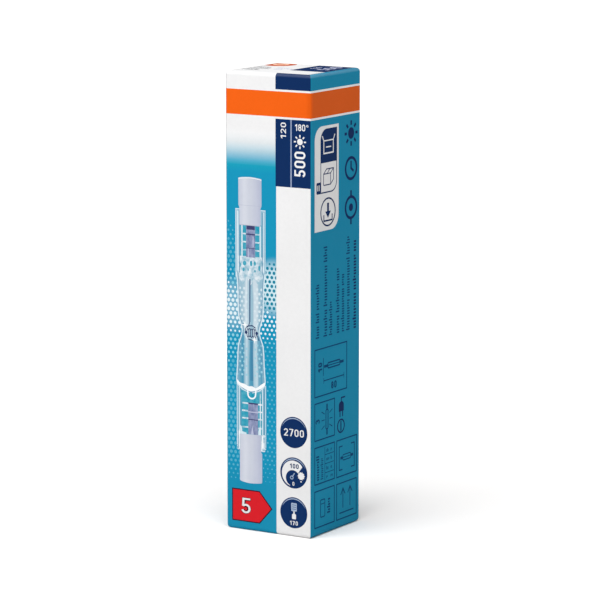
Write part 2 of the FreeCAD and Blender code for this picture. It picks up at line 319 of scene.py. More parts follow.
def front_art():
    art = []
    art.append(("teal_front", [[rect(-FAR, -FAR, SPLIT, 88.2)]], None))
    art.append(("navy", [[rect(SPLIT - 0.17, 96.4, 30, 110)], [rect(SPLIT - 0.17, 75.92, 30, 90.5)]], None))
    art += band(W)
    art.append(("navy_rule", [[rect(16.14, 75.92, 16.46, 90.36)]], None))
    # figures in the dark block, read from the bottom up, and one upright above them
    art.append(("white", number("500", 2.75, 19.86, 78.25, t=0.16, rot=90, squeeze=1.02, track=0.13), None))
    art.append(("white", sun(18.5, 85.75, 1.5, w=0.30), None))
    art.append(("white", number("120", 1.34, 15.04, 86.15, t=0.15, rot=90, squeeze=1.34, track=0.16), None))
    art.append(("white", number("180", 1.45, 17.2, 88.05, t=0.15, squeeze=0.97, track=0.12) + stroke(circle(20.33, 89.2, 0.2, 12), 0.12, True), None))

    # a regular screen of round dots behind the lamp: white ones that grow towards its middle, dark ones on the pale ground
    field = [[rect(-FAR, 10.0, SPLIT, 72.0)]]
    pitch = 1.10
    sets = {"dot_white": [], "dot_pale": [], "dot_faint": [], "dot_teal": []}
    row, z = 0, 11.4
    while z < 69.0:
        a = -1.2 + (pitch / 2 if row % 2 else 0.0)
        while a < SPLIT + 1:
            g = glow(a, z)
            centre = 49.6 - 0.30 * a
            wide = (5.6 if z < centre else 4.75) - 0.16 * a
            mid = math.exp(-(abs(z - centre) / wide) ** 2.4)
            low = math.exp(-((centre - z) / (13.5 - 0.70 * a)) ** 2) if z < centre else 0.0
            high = math.exp(-((z - centre) / (8.7 - 0.40 * a)) ** 2) if z > centre else 0.0
            trail = math.exp(-((z - centre) / max(0.5, 17.0 - 1.7 * a)) ** 4) if z > centre else 0.0
            if g > 0.34:
                sets["dot_teal"].append([circle(a, z, 0.37 * min(1.0, (g - 0.28) / 0.30) ** 0.5, 12)])
            elif mid > 0.30:
                sets["dot_white"].append([circle(a, z, (0.42 - 0.009 * a) * mid ** 0.5, 12)])
            elif max(low, high) > 0.40:
                sets["dot_pale"].append([circle(a, z, (0.41 - 0.010 * a) * max(low, high) ** 0.5, 10)])
            elif z < centre or max(high, trail) > 0.10:
                fade = min(1.0, (z - 7.0) / 10.0) * (1.0 if a < 6 else 0.64)
                sets["dot_faint"].append([circle(a, z, 0.37 * fade * (1.0 if z < centre else (1.12 if a < 3 else 1.0) * min(1.0, max(high / 0.4, trail ** 0.5))), 10)])
            a += pitch
        z += pitch * 0.866
        row += 1
    for ink, parts in sets.items():
        art.append((ink, parts, field))

    # ---- the lamp: glass sleeves, capsule, foils, wires and ceramic ends ----
    zs = np.concatenate([np.linspace(30.6, 33.4, 12), np.linspace(33.8, 57.2, 46)])
    right = np.array([[AX + lamp_half(z), z] for z in zs])
    left = np.array([[AX - lamp_half(z), z] for z in zs])
    body = np.vstack([smooth(right[::2], 3), smooth(left[::2], 3)[::-1]])
    upper_half = [[rect(0, 44.2, 12, 60)]]
    upper = rect(2.25, 56.0, 9.86, 70.5, (0, 0, 0.25, 0.25))
    lower = rect(2.45, 18.4, 9.95, 32.6, (0.3, 0.3, 0, 0))
    art.append(("glass_side", [[upper], [lower]], None))
    art.append(("glass_clear", [[rect(3.45, 60.0, 8.85, 67.2)], [rect(3.55, 21.4, 9.0, 30.9)]], None))
    art.append(("glass", [[body]], None))
    art.append(("glass_up", [[body]], upper_half))
    # frosted shoulder over the capsule
    art.append(("frost", [[poly((2.9, 60.3), (9.3, 60.3), (9.5, 57.4), (9.0, 55.4), (7.9, 54.2), (6.9, 55.6), (6.08, 54.0), (5.2, 55.7), (4.2, 54.1), (3.2, 55.3), (2.7, 57.6))]], None))
    cells = []
    for ca, cz, cw, ch in ((4.55, 58.75, 0.95, 1.1), (6.2, 58.8, 0.62, 1.25), (7.15, 58.85, 0.6, 1.0), (8.3, 57.9, 0.55, 1.15), (4.3, 57.35, 0.55, 0.8),
                           (3.45, 58.3, 0.3, 1.0), (7.2, 57.2, 0.4, 0.6), (9.0, 59.2, 0.28, 0.8), (5.45, 57.4, 0.32, 0.6)):
        cells.append([circle(ca, cz, cw * 0.5, 12, ry=ch * 0.5)])
    art.append(("glass_clear", cells, None))
    # dots seen through the capsule, fainter
    seen, row, z = [], 0, 34.4
    while z < 41.6:
        a = AX - 3.3 + (pitch / 2 if row % 2 else 0)
        while a < AX + 3.4:
            if abs(a - AX) > 0.8:
                seen.append([circle(a, z, 0.27, 10)])
            a += pitch
        z += pitch * 0.866
        row += 1
    art.append(("glass_dot", seen, [[body]]))
    seen, row, z = [], 0, 46.6
    while z < 53.9:
        a = AX - 3.3 + (pitch / 2 if row % 2 else 0)
        while a < AX + 3.4:
            if abs(a - AX) > 0.8:
                seen.append([circle(a, z, 0.30, 10)])
            a += pitch
        z += pitch * 0.866
        row += 1
    art.append(("glass_dot_up", seen, [[body]]))
    # double edge lines of the sleeves and the capsule
    lines = []
    for a0, z0, z1, w in ((2.34, 55.6, 70.4, 0.16), (2.86, 57.0, 70.0, 0.36), (3.90, 60.0, 67.0, 0.34), (8.55, 60.0, 67.0, 0.36), (9.42, 57.0, 70.0, 0.18), (9.78, 55.6, 70.4, 0.12),
                          (2.56, 18.8, 32.4, 0.14), (3.10, 19.4, 31.8, 0.24), (9.06, 19.4, 31.8, 0.22), (9.84, 18.8, 32.4, 0.16)):
        lines += stroke([(a0, z0), (a0, z1)], w)
    lines += stroke([(2.25, 70.42), (3.25, 70.42)], 0.2) + stroke([(8.7, 70.42), (9.86, 70.42)], 0.2)
    lines += stroke([(2.5, 18.5), (3.5, 18.5)], 0.22) + stroke([(8.9, 18.5), (9.92, 18.5)], 0.22)
    edge_r, edge_l = smooth(right[::2], 3), smooth(left[::2], 3)
    lines += stroke(edge_r, 0.24) + stroke(edge_l, 0.24)
    art.append(("glass_line", lines, None))
    shade = stroke(edge_r - (0.34, 0), 0.13) + stroke(edge_l + (0.34, 0), 0.13)
    for a0, z0, z1 in ((3.26, 56.6, 70.0), (9.06, 56.6, 70.0), (3.52, 19.0, 31.2), (9.46, 19.0, 31.6)):
        shade += stroke([(a0, z0), (a0, z1)], 0.18)
    art.append(("glass_shade", shade, [[rect(2.0, 18.0, 10.2, 71.0)]]))
    # ribs of the pinched seals
    ribs = []
    for z0 in (65.15, 63.40, 61.65, 59.95):
        ribs += [[rect(3.7, z0 - 0.16, 8.5, z0 + 0.16, 0.1)]]
    ribs += [[rect(3.9, 59.5, 8.7, 59.82, 0.12)]]
    for z0 in (28.15, 26.50, 24.85, 22.90):
        ribs += [[rect(3.8, z0 - 0.17, 5.5, z0 + 0.17, 0.1)], [rect(7.8, z0 - 0.17, 8.95, z0 + 0.17, 0.1)]]
    ribs += [[rect(8.35, 21.6, 8.62, 30.6)]]
    art.append(("frost", ribs, None))
    # molybdenum foils with their folds
    art.append(("foil", [[rect(4.95, 60.1, 7.25, 66.95, 0.12)], [rect(5.40, 21.4, 7.90, 28.35, 0.12)]], None))
    art.append(("foil_dark", [[rect(5.05, 66.1, 7.15, 66.95)], [rect(4.95, 64.95, 7.25, 65.22)], [rect(4.95, 62.0, 7.25, 62.12)], [rect(5.4, 28.05, 7.9, 28.35)],
                              [rect(5.4, 24.55, 7.9, 24.75)]], None))
    art.append(("foil_pale", [[rect(5.4, 26.2, 7.9, 26.42)], [rect(5.35, 60.1, 5.6, 62.0)], [poly((6.1, 21.4), (6.75, 21.4), (6.5, 23.4))], [rect(6.6, 62.3, 6.85, 64.7)]], None))
    # lead wires and the small coil between them
    art.append(("wire_dark", stroke([(5.84, 46.1), (5.90, 55.4)], 0.34), None))
    art.append(("wire", [[poly((5.92, 33.2), (6.72, 33.2), (6.62, 41.8), (5.98, 41.8))]], None))
    coil = []
    for i in range(5):
        coil += stroke(circle(5.35 + 0.46 * i, 43.6 + 0.12 * (i % 2), 0.26, 16, ry=0.95), 0.17, True)
    art.append(("glass_line", stroke([(AX - 1.9, 46.1), (AX - 1.2, 44.9), (AX - 1.7, 43.3), (AX - 1.0, 42.3)], 0.22) +
                stroke([(AX + 1.9, 46.1), (AX + 1.3, 44.9), (AX + 1.8, 43.3), (AX + 1.1, 42.3)], 0.22), None))
    art.append(("glass_up", [[circle(6.2, 43.8, 2.0, 20, ry=1.6)]], None))
    art.append(("coil", coil + [[circle(4.9, 43.7, 0.36, 12)], [circle(7.6, 43.7, 0.36, 12)]] + stroke([(5.0, 45.0), (6.4, 45.3), (7.3, 44.8)], 0.26) + stroke([(5.4, 42.3), (6.5, 42.1), (7.4, 42.4)], 0.22) +
                stroke([(4.2, 45.6), (4.75, 44.4), (4.85, 43.75)], 0.2) + stroke([(8.2, 42.1), (7.7, 43.2), (7.55, 43.75)], 0.2) + stroke([(5.84, 46.1), (5.6, 45.3), (4.9, 44.6)], 0.2), None))
    art.append(("glint", [[poly((AX - 1.5, 46.3), (AX - 1.32, 45.5), (AX - 0.7, 45.3), (AX - 1.32, 45.1), (AX - 1.5, 44.3), (AX - 1.68, 45.1), (AX - 2.3, 45.3), (AX - 1.68, 45.5))],
                          [poly((AX + 1.0, 43.1), (AX + 1.15, 42.4), (AX + 1.7, 42.2), (AX + 1.15, 42.0), (AX + 1.0, 41.3), (AX + 0.85, 42.0), (AX + 0.3, 42.2), (AX + 0.85, 42.4))]], None))
    # bright foot of the capsule, and the small loop under it
    foot_top = smooth([(2.52, 33.3), (3.3, 32.55), (4.4, 32.35), (5.4, 31.95), (6.4, 32.0), (7.4, 31.7), (8.6, 32.5), (9.66, 33.2)], 5)
    foot_low = smooth([(9.66, 32.5), (8.7, 31.7), (7.4, 31.15), (6.1, 30.85), (4.8, 31.15), (3.4, 31.75), (2.52, 32.5)], 5)
    art.append(("glint", [[np.vstack([foot_top, foot_low])]], None))
    art.append(("glint", stroke(np.vstack([[[5.25, 31.1]], arc(6.3, 30.25, 0.98, 180, 360, n=16), [[7.35, 31.1]]]), 0.34), None))
    # ceramic ends
    cap_up = np.vstack([poly((3.25, 66.95), (8.62, 66.95), (8.62, 70.75), (8.88, 71.35)), smooth([(8.88, 76.95), (8.6, 77.22), (6.0, 77.46), (3.3, 77.24), (3.02, 76.95)], 5),
                        poly((3.02, 71.35), (3.25, 70.75))])
    cap_lo = np.vstack([poly((3.24, 21.24)), smooth([(3.24, 11.05), (3.5, 10.86), (4.7, 10.62), (6.1, 10.54), (7.6, 10.66), (8.7, 10.82), (8.93, 11.1)], 5),
                        poly((8.93, 17.3), (8.68, 17.7), (8.68, 21.44))])
    art.append(("ceramic", [[cap_up], [cap_lo]], None))
    art.append(("ceramic_shade", [[rect(3.06, 71.26, 8.84, 71.33)], [rect(3.25, 66.95, 8.62, 67.10)]], None))
    art.append(("glint", stroke(smooth([(3.1, 76.8), (3.4, 77.05), (6.0, 77.28), (8.5, 77.04), (8.8, 76.8)], 5), 0.14), [[cap_up]]))
    # pale glass gathered over the lower sleeve, then its bright lower rims, each with a thin dark line in it
    art.append(("glass_line", [[poly((3.28, 21.26), (4.9, 21.32), (4.9, 21.62), (3.86, 21.85), (3.7, 22.9), (3.28, 23.2))],
                               [poly((7.95, 21.42), (8.66, 21.46), (8.66, 23.2), (8.2, 23.1), (7.95, 22.1))]], None))
    art.append(("frost", [[rect(8.64, 17.85, 9.7, 21.55, 0.22)], [rect(2.62, 17.75, 3.28, 21.9, 0.18)]], None))
    art.append(("glass_shade", stroke([(9.66, 21.2), (9.66, 18.7)], 0.15) + stroke([(9.1, 18.22), (9.6, 18.22)], 0.13) + stroke([(2.8, 22.0), (2.8, 17.95)], 0.15), None))
    art.append(("glint", stroke([(3.08, 22.2), (3.08, 17.95)], 0.17) + stroke([(9.0, 21.3), (9.0, 18.6)], 0.3), None))

    # five-sided tag with a plain figure
    tag = poly((1.16, 1.84), (8.29, 1.84), (11.52, 5.42), (8.29, 9.06), (1.16, 9.06))
    art.append(("key_line", [[tag]], None))
    art.append(("red", [[poly((1.40, 2.08), (8.18, 2.08), (11.18, 5.42), (8.18, 8.82), (1.40, 8.82))]], None))
    art.append(("key_line", number("5", 3.62, 4.75, 5.42, t=0.205, squeeze=1.30, centre=True), None))
    art.append(("white", number("5", 3.40, 4.75, 5.42, t=0.125, squeeze=1.28, centre=True), None))

    # three dark roundels with thin arcs inside their upper edges
    for zc in (22.98, 14.1, 5.33):
        art.append(("navy", [[circle(16.95, zc, 3.42)]], None))
        art.append(("arc_line", [[lune(16.95, zc, 3.16)]], None))
    art.append(("white", number("2700", 1.6, 16.98, 22.9, t=0.145, squeeze=1.14, track=0.17, centre=True), None))
    # a dial: a scale that tapers round a low hub, a pointer, a burst and plain figures
    zc = 14.1
    art.append(("white", [[np.vstack([arc(16.8, zc - 0.15, 2.85, 252, 36, n=60), arc(16.7, zc - 1.15, 1.75, 42, 248, n=44)])]], None))
    art.append(("navy", number("100", 1.05, 17.05, zc + 1.5, t=0.19, squeeze=1.12, track=0.16, centre=True), None))
    turn = np.linspace(0, 2 * PI, 21)[:-1]
    reach = np.where(np.arange(20) % 2, 0.72, 0.94)
    art.append(("white", [[np.stack([18.8 + reach * np.cos(turn), zc - 0.5 + reach * np.sin(turn)], -1)], [rect(18.62, zc - 1.85, 18.96, zc - 1.6)]], None))
    art.append(("white", number("0", 0.85, 16.85, zc - 2.38, t=0.18, centre=True), None))
    art.append(("arc_line", stroke([(16.62, zc - 0.82), (17.1, zc - 0.1)], 0.2, caps=True) + stroke(circle(16.45, zc - 1.05, 0.34, 16), 0.18, True), None))
    # the end of a lamp, as a plain glyph
    zc = 5.33
    art.append(("arc_line", [[rect(16.30, zc + 0.35, 17.70, zc + 2.15, 0.12)]], None))
    art.append(("white", [[poly((16.72, zc + 0.3), (16.9, zc + 0.02), (16.68, zc - 0.4), (17.32, zc - 0.4), (17.1, zc + 0.02), (17.28, zc + 0.3))], [rect(16.5, zc - 1.4, 17.5, zc - 0.3, 0.14)]], None))
    art.append(("navy", [[rect(16.5, zc + 0.75, 17.5, zc + 0.88)], [rect(16.5, zc + 1.2, 17.5, zc + 1.33)], [rect(16.5, zc + 1.65, 17.5, zc + 1.78)]], None))
    art.append(("white", number("170", 0.92, 16.95, zc - 2.28, t=0.18, squeeze=1.1, track=0.2, centre=True), None))
    return art


def lune(cx, cz, r=3.12, thick=0.20):
    """A narrow arc that runs out at both ends."""
    t = np.linspace(math.radians(22), math.radians(158), 40)
    inner = r - thick * np.sin(np.linspace(0, PI, 40)) ** 0.7
    return np.vstack([np.stack([cx + r * np.cos(t), cz + r * np.sin(t)], -1), np.stack([cx + inner * np.cos(t), cz + inner * np.sin(t)], -1)[::-1]])


def right_art():
    art = band(D, "orange_side")
    # pale label with a dark block, a framed block and a ring, each with a plain glyph
    art.append(("label", [[rect(1.58, 66.35, 11.42, 88.8, (0, 3.0, 0, 3.0))]], None))
    art.append(("navy", [[rect(3.95, 80.9, 10.72, 88.15, (0, 0, 0, 2.5))]], None))
    art.append(("navy", [[rect(3.95, 74.4, 10.72, 81.2, (0, 2.3, 0, 0)), rect(4.2, 74.68, 10.46, 81.2, (0, 2.05, 0, 0))]], None))
    art.append(("navy", [[rect(2.3, 74.4, 4.1, 76.9, (0.3, 0, 0, 0.3))]], None))
    # open box on the dark block
    art.append(("white", stroke([(5.3, 85.6), (5.3, 82.9), (9.2, 82.9), (9.2, 85.6)], 0.3) + stroke([(5.3, 85.6), (9.2, 85.6)], 0.26) +
                stroke([(5.3, 85.6), (4.65, 86.7)], 0.28) + stroke([(9.2, 85.6), (9.85, 86.7)], 0.28) + stroke([(6.2, 84.2), (8.3, 84.2)], 0.26), None))
    # carton on the framed block
    art.append(("navy", stroke([(5.2, 76.1), (8.1, 76.1), (9.3, 77.1), (9.3, 79.5), (6.4, 79.5), (5.2, 78.5), (5.2, 76.1)], 0.24) +
                stroke([(5.2, 78.5), (8.1, 78.5), (8.1, 76.1)], 0.22) + stroke([(8.1, 78.5), (9.3, 79.5)], 0.22) + stroke([(6.65, 78.5), (7.85, 79.5)], 0.2), None))
    # ring with an arrow over a tray
    art.append(("navy", stroke(circle(7.05, 70.25, 2.95), 0.36, True) + [[poly((7.05, 68.95), (8.2, 70.4), (7.45, 70.4), (7.45, 72.2), (6.65, 72.2), (6.65, 70.4), (5.9, 70.4))]] +
                stroke([(5.35, 69.7), (5.35, 68.4), (8.75, 68.4), (8.75, 69.7)], 0.36), None))
    art.append(("white", stroke([(2.8, 75.1), (2.8, 76.3)], 0.26) + stroke([(3.4, 75.1), (3.4, 76.3)], 0.26), None))
    # three plain line glyphs
    gx = 16.62
    art.append(("navy_side", sun(gx, 86.2, 2.75, w=0.62), None))
    art.append(("navy_side", stroke(circle(gx, 78.6, 2.3), 0.64, True) + stroke([(gx, 80.2), (gx, 78.6), (gx + 1.1, 77.9)], 0.56), None))
    art.append(("navy_side", stroke(circle(gx, 70.1, 2.3), 0.64, True) + stroke([(gx, 66.4), (gx, 67.9)], 0.62) + stroke([(gx, 72.3), (gx, 73.8)], 0.62) +
                [[circle(gx, 70.1, 0.85)]], None))
    # lines of small print, read from the bottom up
    for i, (y, z1, h, heavy) in enumerate(((3.45, 55.2, 1.42, False), (6.75, 63.4, 1.50, False), (8.85, 51.6, 1.35, False), (11.8, 58.4, 1.45, False),
                                           (13.85, 57.0, 1.35, False), (16.15, 64.8, 1.45, False), (18.85, 63.2, 1.42, True))):
        art.append(("side_ink" if not heavy else "navy_side", rows_of_type(y, 43.4, z1 - 43.4, h, 11 + i, rot=90, heavy=heavy), None))
    # framed line drawings
    def frame_box(x0, y0, x1, y1):
        return stroke(rect(x0, y0, x1, y1), 0.28, True)
    lines = frame_box(1.7, 30.7, 15.0, 40.95) + frame_box(1.7, 21.15, 9.9, 29.25) + frame_box(1.7, 11.55, 9.9, 19.6) + frame_box(1.7, 2.0, 9.85, 10.0)
    lines += frame_box(10.85, 11.5, 19.3, 19.6) + frame_box(10.85, 2.0, 19.2, 9.95)
    # lamp and its length
    lines += capsule(9.6, 36.9, 8.2, 1.15, 0.32)
    lines += stroke([(5.4, 33.8), (13.8, 33.8)], 0.24) + stroke([(5.4, 33.2), (5.4, 34.4)], 0.18) + stroke([(13.8, 33.2), (13.8, 34.4)], 0.18)
    lines += number("80", 1.6, 9.6, 32.35, t=0.22, squeeze=1.1, track=0.16, centre=True) + number("10", 1.6, 3.9, 36.9, t=0.22, rot=90, squeeze=1.1, track=0.16, centre=True)
    lines += stroke([(5.2, 34.9), (5.2, 38.8)], 0.22)
    # lamp with rays, and a figure
    lines += capsule(6.75, 25.2, 6.8, 1.0, 0.24, rot=90) + number("3", 1.7, 2.9, 25.2, t=0.2, rot=90, squeeze=1.1, centre=True)
    for dz in (-1.6, 0.0, 1.6):
        lines += stroke([(4.5, 25.2 + dz * 1.2), (5.75, 25.2 + dz * 0.8)], 0.2) + stroke([(7.75, 25.2 + dz * 0.8), (9.0, 25.2 + dz * 1.2)], 0.2)
    # small table
    for zz in (13.5, 15.5, 17.5):
        lines += stroke([(5.9, zz), (9.6, zz)], 0.16)
    lines += stroke([(5.9, 11.9), (5.9, 19.2)], 0.18)
    for k, zz in enumerate((12.2, 14.1, 16.1, 18.0)):
        lines += rows_of_type(6.5, zz, 1.3, 0.85, 50 + k) + rows_of_type(8.3, zz, 1.2, 0.85, 55 + k)
    lines += rows_of_type(3.5, 12.3, 6.2, 1.2, 31, rot=90, heavy=True) + rows_of_type(5.2, 12.3, 5.0, 1.1, 32, rot=90)
    # small carton glyph and two words
    lines += stroke(rect(4.1, 4.0, 5.9, 7.8, 0.25), 0.24, True) + stroke([(4.1, 6.9), (5.9, 6.9)], 0.18) + rows_of_type(8.1, 4.4, 3.4, 1.25, 35, rot=90, heavy=True)
    # lamp between two holders, and two upright arrows on a line
    lines += capsule(15.1, 15.5, 5.4, 1.2, 0.24) + stroke([(13.3, 12.9), (11.9, 12.9), (11.9, 18.1), (13.3, 18.1)], 0.28) + stroke([(16.9, 12.9), (18.3, 12.9), (18.3, 18.1), (16.9, 18.1)], 0.28)
    for xc in (13.5, 16.5):
        lines += stroke([(xc, 4.3), (xc, 8.6)], 0.28) + stroke([(xc - 0.95, 7.3), (xc, 8.7), (xc + 0.95, 7.3)], 0.28)
    lines += stroke([(12.0, 3.3), (18.0, 3.3)], 0.28)
    art.append(("side_ink", lines, None))
    # plug glyph and a ring with a bar
    art.append(("navy_side", [[rect(11.7, 25.9, 13.8, 28.1, (0.1, 0.1, 0.9, 0.9))], [rect(12.0, 24.7, 12.4, 25.9)], [rect(13.1, 24.7, 13.5, 25.9)]] +
                stroke([(12.75, 28.0), (12.75, 28.9), (14.4, 28.9)], 0.32) + stroke(circle(12.6, 22.7, 1.42), 0.36, True) + stroke([(12.6, 21.6), (12.6, 23.8)], 0.42), None))
    return art


def rear_art():
    x, y, r = DISC
    art = [("teal_rear", [[rect(W - SPLIT, -FAR, W + FAR, 88.2)]], None),
           ("orange_top", [[circle(W / 2 - x, V1 + D / 2 - RF - y, r)]], None),
           ("navy", [[rect(-FAR, 96.4, 9.8, 110)], [rect(-FAR, 75.92, W - SPLIT, 90.5)]], None)]
    art += band(W)
    # quiet rows of small print on the white column
    for i in range(5):
        art.append(("grey_print", rows_of_type(1.5, 66.5 - 1.9 * i, (5.6, 5.2, 5.8, 4.4, 3.0)[i], 0.95, 60 + i), None))
    art.append(("navy", [[circle(W - 17.0, 23.1, 3.38)], [circle(W - 17.0, 14.15, 3.38)], [circle(W - 17.0, 5.35, 3.38)]], None))
    for zc in (23.1, 14.15, 5.35):
        art.append(("arc_line", stroke(arc(W - 17.0, zc, 3.08, 28, 152), 0.17), None))
    art.append(("white", sun(W - 17.0, 23.0, 2.0, w=0.34) + moved(capsule(0, 0, 4.6, 1.1, 0.2), W - 17.0, 14.1, 90) +
                stroke(circle(W - 17.0, 5.3, 1.7), 0.28, True) + stroke([(W - 17.0, 6.3), (W - 17.0, 5.3), (W - 16.2, 4.8)], 0.26), None))
    return art


def left_art():
    x, y, r = DISC
    art = [("white", [[rect(-FAR, 96.3, D + FAR, 110)]], None), ("orange_top", [[circle(D / 2 - y, V1 + W / 2 - RF + x, r)]], None)] + band(D)
    for i, (a, z0, z1) in enumerate(((3.6, 44.0, 70.5), (5.7, 44.0, 66.0), (7.8, 44.0, 72.5), (9.9, 44.0, 60.0), (14.1, 44.0, 71.0), (16.2, 44.0, 63.5))):
        art.append(("side_ink", rows_of_type(a, z0, z1 - z0, 1.15, 80 + i, rot=90), None))
    art.append(("side_ink", stroke(rect(2.2, 3.0, 18.0, 16.5), 0.17, True) + capsule(10.1, 11.4, 10.5, 1.5, 0.19) +
                stroke([(4.85, 7.2), (15.35, 7.2)], 0.14) + stroke([(4.85, 6.6), (4.85, 7.8)], 0.14) + stroke([(15.35, 6.6), (15.35, 7.8)], 0.14), None))
    return art


DISC = (-7.8, 7.1, 3.75)         # x, y, radius of the disc printed on the top, which runs over two folds


def top_art():
    """In x, y of the carton."""
    lid = [[rect(-XI, -12, XI, YI)]]
    art = [("navy", [[rect(0.9, -2.95, 12, 12)]], None)]
    art.append(("sky_print", number("500", 2.9, 7.9, 0.9, t=0.17, rot=90, squeeze=1.25, track=0.16) + number("120", 1.5, 4.1, 2.2, t=0.17, rot=90, squeeze=1.2, track=0.16), lid))
    for i in range(5):
        art.append(("grey_print", rows_of_type(-9.25, 0.1 - 1.6 * i, (4.0, 4.9, 5.2, 4.6, 5.6)[i], 1.25, 120 + i), None))
    for i in range(3):
        art.append(("lilac_print", rows_of_type((-4.2, -3.6, -3.3)[i], 0.1 - 1.6 * i, (3.4, 4.4, 2.6)[i], 1.2, 131 + i), None))
    art.append(("orange_top", [[circle(*DISC)]], None))
    art.append(("orange_pale", [[circle(DISC[0] + 0.3, DISC[1] + 0.05, 1.85)]], None))
    art.append(("orange_top", stroke([(DISC[0] - 0.8, DISC[1] + 0.05), (DISC[0] + 1.4, DISC[1] + 0.05)], 0.7), None))
    return art


def base_art():
    """In x, y of the carton, seen from below: x runs to the left."""
    return [("grey_print", rows_of_type(-3.2, -1.8, 6.2, 0.95, 140) + rows_of_type(-3.2, 0.6, 5.0, 0.95, 141), None)]


# ---------------------------------------------------------------------------
# Cutting the print into the faces of the carton
# ---------------------------------------------------------------------------
def inside(loop, x, y):
    """Even-odd test of points against one loop."""
    hit = np.zeros(len(x), bool)
    px, py = loop[:, 0], loop[:, 1]
    qx, qy = np.roll(px, -1), np.roll(py, -1)
    for i in range(len(loop)):
        if py[i] == qy[i]:
            continue
        cross = (py[i] > y) != (qy[i] > y)
        hit ^= cross & (x < (qx[i] - px[i]) * (y - py[i]) / (qy[i] - py[i]) + px[i])
    return hit


def covered_by(parts, x, y):
    """True for each point that lies in any of the parts."""
    found = np.zeros(len(x), bool)
    for part in parts:
        lo = np.min([loop.min(0) for loop in part], axis=0)
        hi = np.max([loop.max(0) for loop in part], axis=0)
        i = np.nonzero((x >= lo[0]) & (x <= hi[0]) & (y >= lo[1]) & (y <= hi[1]))[0]
        if not len(i):
            continue
        hit = np.zeros(len(i), bool)
        for loop in part:
            hit ^= inside(loop, x[i], y[i])
        found[i[hit]] = True
    return found


def cut(outline, art, rules=()):
    """Triangles of the outline, cut along every edge of the print: points, triangles, ink of each."""
    pts, edges = [], []

    def add(loop, closed=True):
        base = len(pts)
        pts.extend(Vector((float(a), float(b))) for a, b in loop)
        n = len(loop)
        edges.extend((base + i, base + (i + 1) % n) for i in range(n if closed else n - 1))

    add(outline)
    for line in rules:
        add(line, closed=False)
    for _, parts, clip in art:
        for part in parts:
            for loop in part:
                add(loop)
        for part in clip or ():
            for loop in part:
                add(loop)
    out = delaunay_2d_cdt(pts, edges, [], 0, 1e-5, False)
    P = np.array([(p.x, p.y) for p in out[0]])
    T = np.array(out[2], int)
    a, b, c = P[T[:, 0]], P[T[:, 1]], P[T[:, 2]]
    area = ((b - a)[:, 0] * (c - a)[:, 1] - (b - a)[:, 1] * (c - a)[:, 0]) / 2
    T[area < 0] = T[area < 0][:, ::-1]
    T = T[np.abs(area) > 1e-9]
    C = P[T].mean(1)
    T = T[inside(np.asarray(outline), C[:, 0], C[:, 1])]
    C = P[T].mean(1)
    ink = np.zeros(len(T), int)
    for name, parts, clip in art:
        hit = covered_by(parts, C[:, 0], C[:, 1])
        if clip:
            hit &= covered_by(clip, C[:, 0], C[:, 1])
        ink[hit] = INK[name]
    return P, T, ink


INK_NAMES = ["white", "orange", "navy", "teal_front", "teal_rear", "teal_side", "navy_rule", "orange_pale", "orange_top", "orange_side", "dot_white", "dot_pale", "dot_faint", "dot_teal", "glass", "glass_up", "glass_side",
             "glass_clear", "glass_dot", "glass_dot_up", "glass_line", "glass_shade", "frost", "foil", "foil_dark", "foil_pale", "wire", "wire_dark", "coil", "glint", "ceramic",
             "ceramic_shade", "key_line", "red", "arc_line", "navy_side", "label", "side_ink", "grey_print", "lilac_print", "sky_print", "raw_board"]
INK = {n: i for i, n in enumerate(INK_NAMES)}


def shifted(art, dx, base=None):
    """Panel art from a (from the left edge) to u (from the middle), with its ground colour first."""
    out = [(ink, moved(parts, dx), moved(clip, dx) if clip else None) for ink, parts, clip in art]
    return ([(base, [[rect(-20, -5, 20, 106)]], None)] if base else []) + out


ART = {
    "front": shifted(front_art(), -A0, "white"),
    "right": shifted(right_art(), -D / 2, "teal_side"),
    "rear": shifted(rear_art(), -W / 2, "white"),
    "left": shifted(left_art(), -D / 2, "teal_side"),
}


def side_outline(panel, extra):
    """A side panel's outline in (u, v), with any extra points on its edges."""
    half = PANELS[panel]["half"]
    levels = LOW + HIGH
    flat = float(edge_u(half, V0))

    def upright(side, sign):
        vs = sorted(set(levels) | set(extra.get(side, ())))
        vs = merged(vs)
        if (panel, side) not in (("left", "L"), ("rear", "R")):
            return [(sign * chord(half, v), v) for v in vs]
        x_seam = -SEAM_LEFT_Y if panel == "left" else -SEAM_EDGE_X
        crease = [(sign * float(edge_u(half, 50.0, s))) for s in (1.0, 2 / 3, 1 / 3, 0.0)]
        if panel == "rear":
            crease = crease + [x_seam]
        else:
            crease = crease + [x_seam]
        low = [(sign * chord(half, v), v) for v in vs if v < SEAM_LO - 1e-6]
        mid = [(x_seam, v) for v in vs if SEAM_LO + 1e-6 < v < SEAM_HI - 1e-6]
        high = [(sign * chord(half, v), v) for v in vs if v > SEAM_HI + 1e-6]
        steps_lo = [(c, SEAM_LO) for c in crease]
        steps_hi = [(c, SEAM_HI) for c in crease[::-1]]
        # the fold at SEAM_LO and SEAM_HI is flat again, so the crease has its full radius there
        return low + steps_lo + mid + steps_hi + high

    across = merged(sorted(set([-flat, flat]) | set(extra.get("B", ()))))
    over = merged(sorted(set([-flat, flat]) | set(extra.get("T", ()))))
    right, left = upright("R", 1), upright("L", -1)
    loop = [(u, V0) for u in across if -flat + 1e-6 < u < flat - 1e-6]
    loop = [(-flat, V0)] + loop + right[:-1] + [(flat, V1)] + [(u, V1) for u in over[::-1] if -flat + 1e-6 < u < flat - 1e-6] + [(-flat, V1)] + left[::-1][1:-1]
    # right[0] is (flat, V0) and left[0] is (-flat, V0), which is already there
    return np.array(loop)


def chord(half, v):
    """The crease on the panel's outline: straight between the fold's levels."""
    vs = np.array(LOW + HIGH)
    return float(np.interp(v, vs, [float(edge_u(half, w)) for w in vs]))


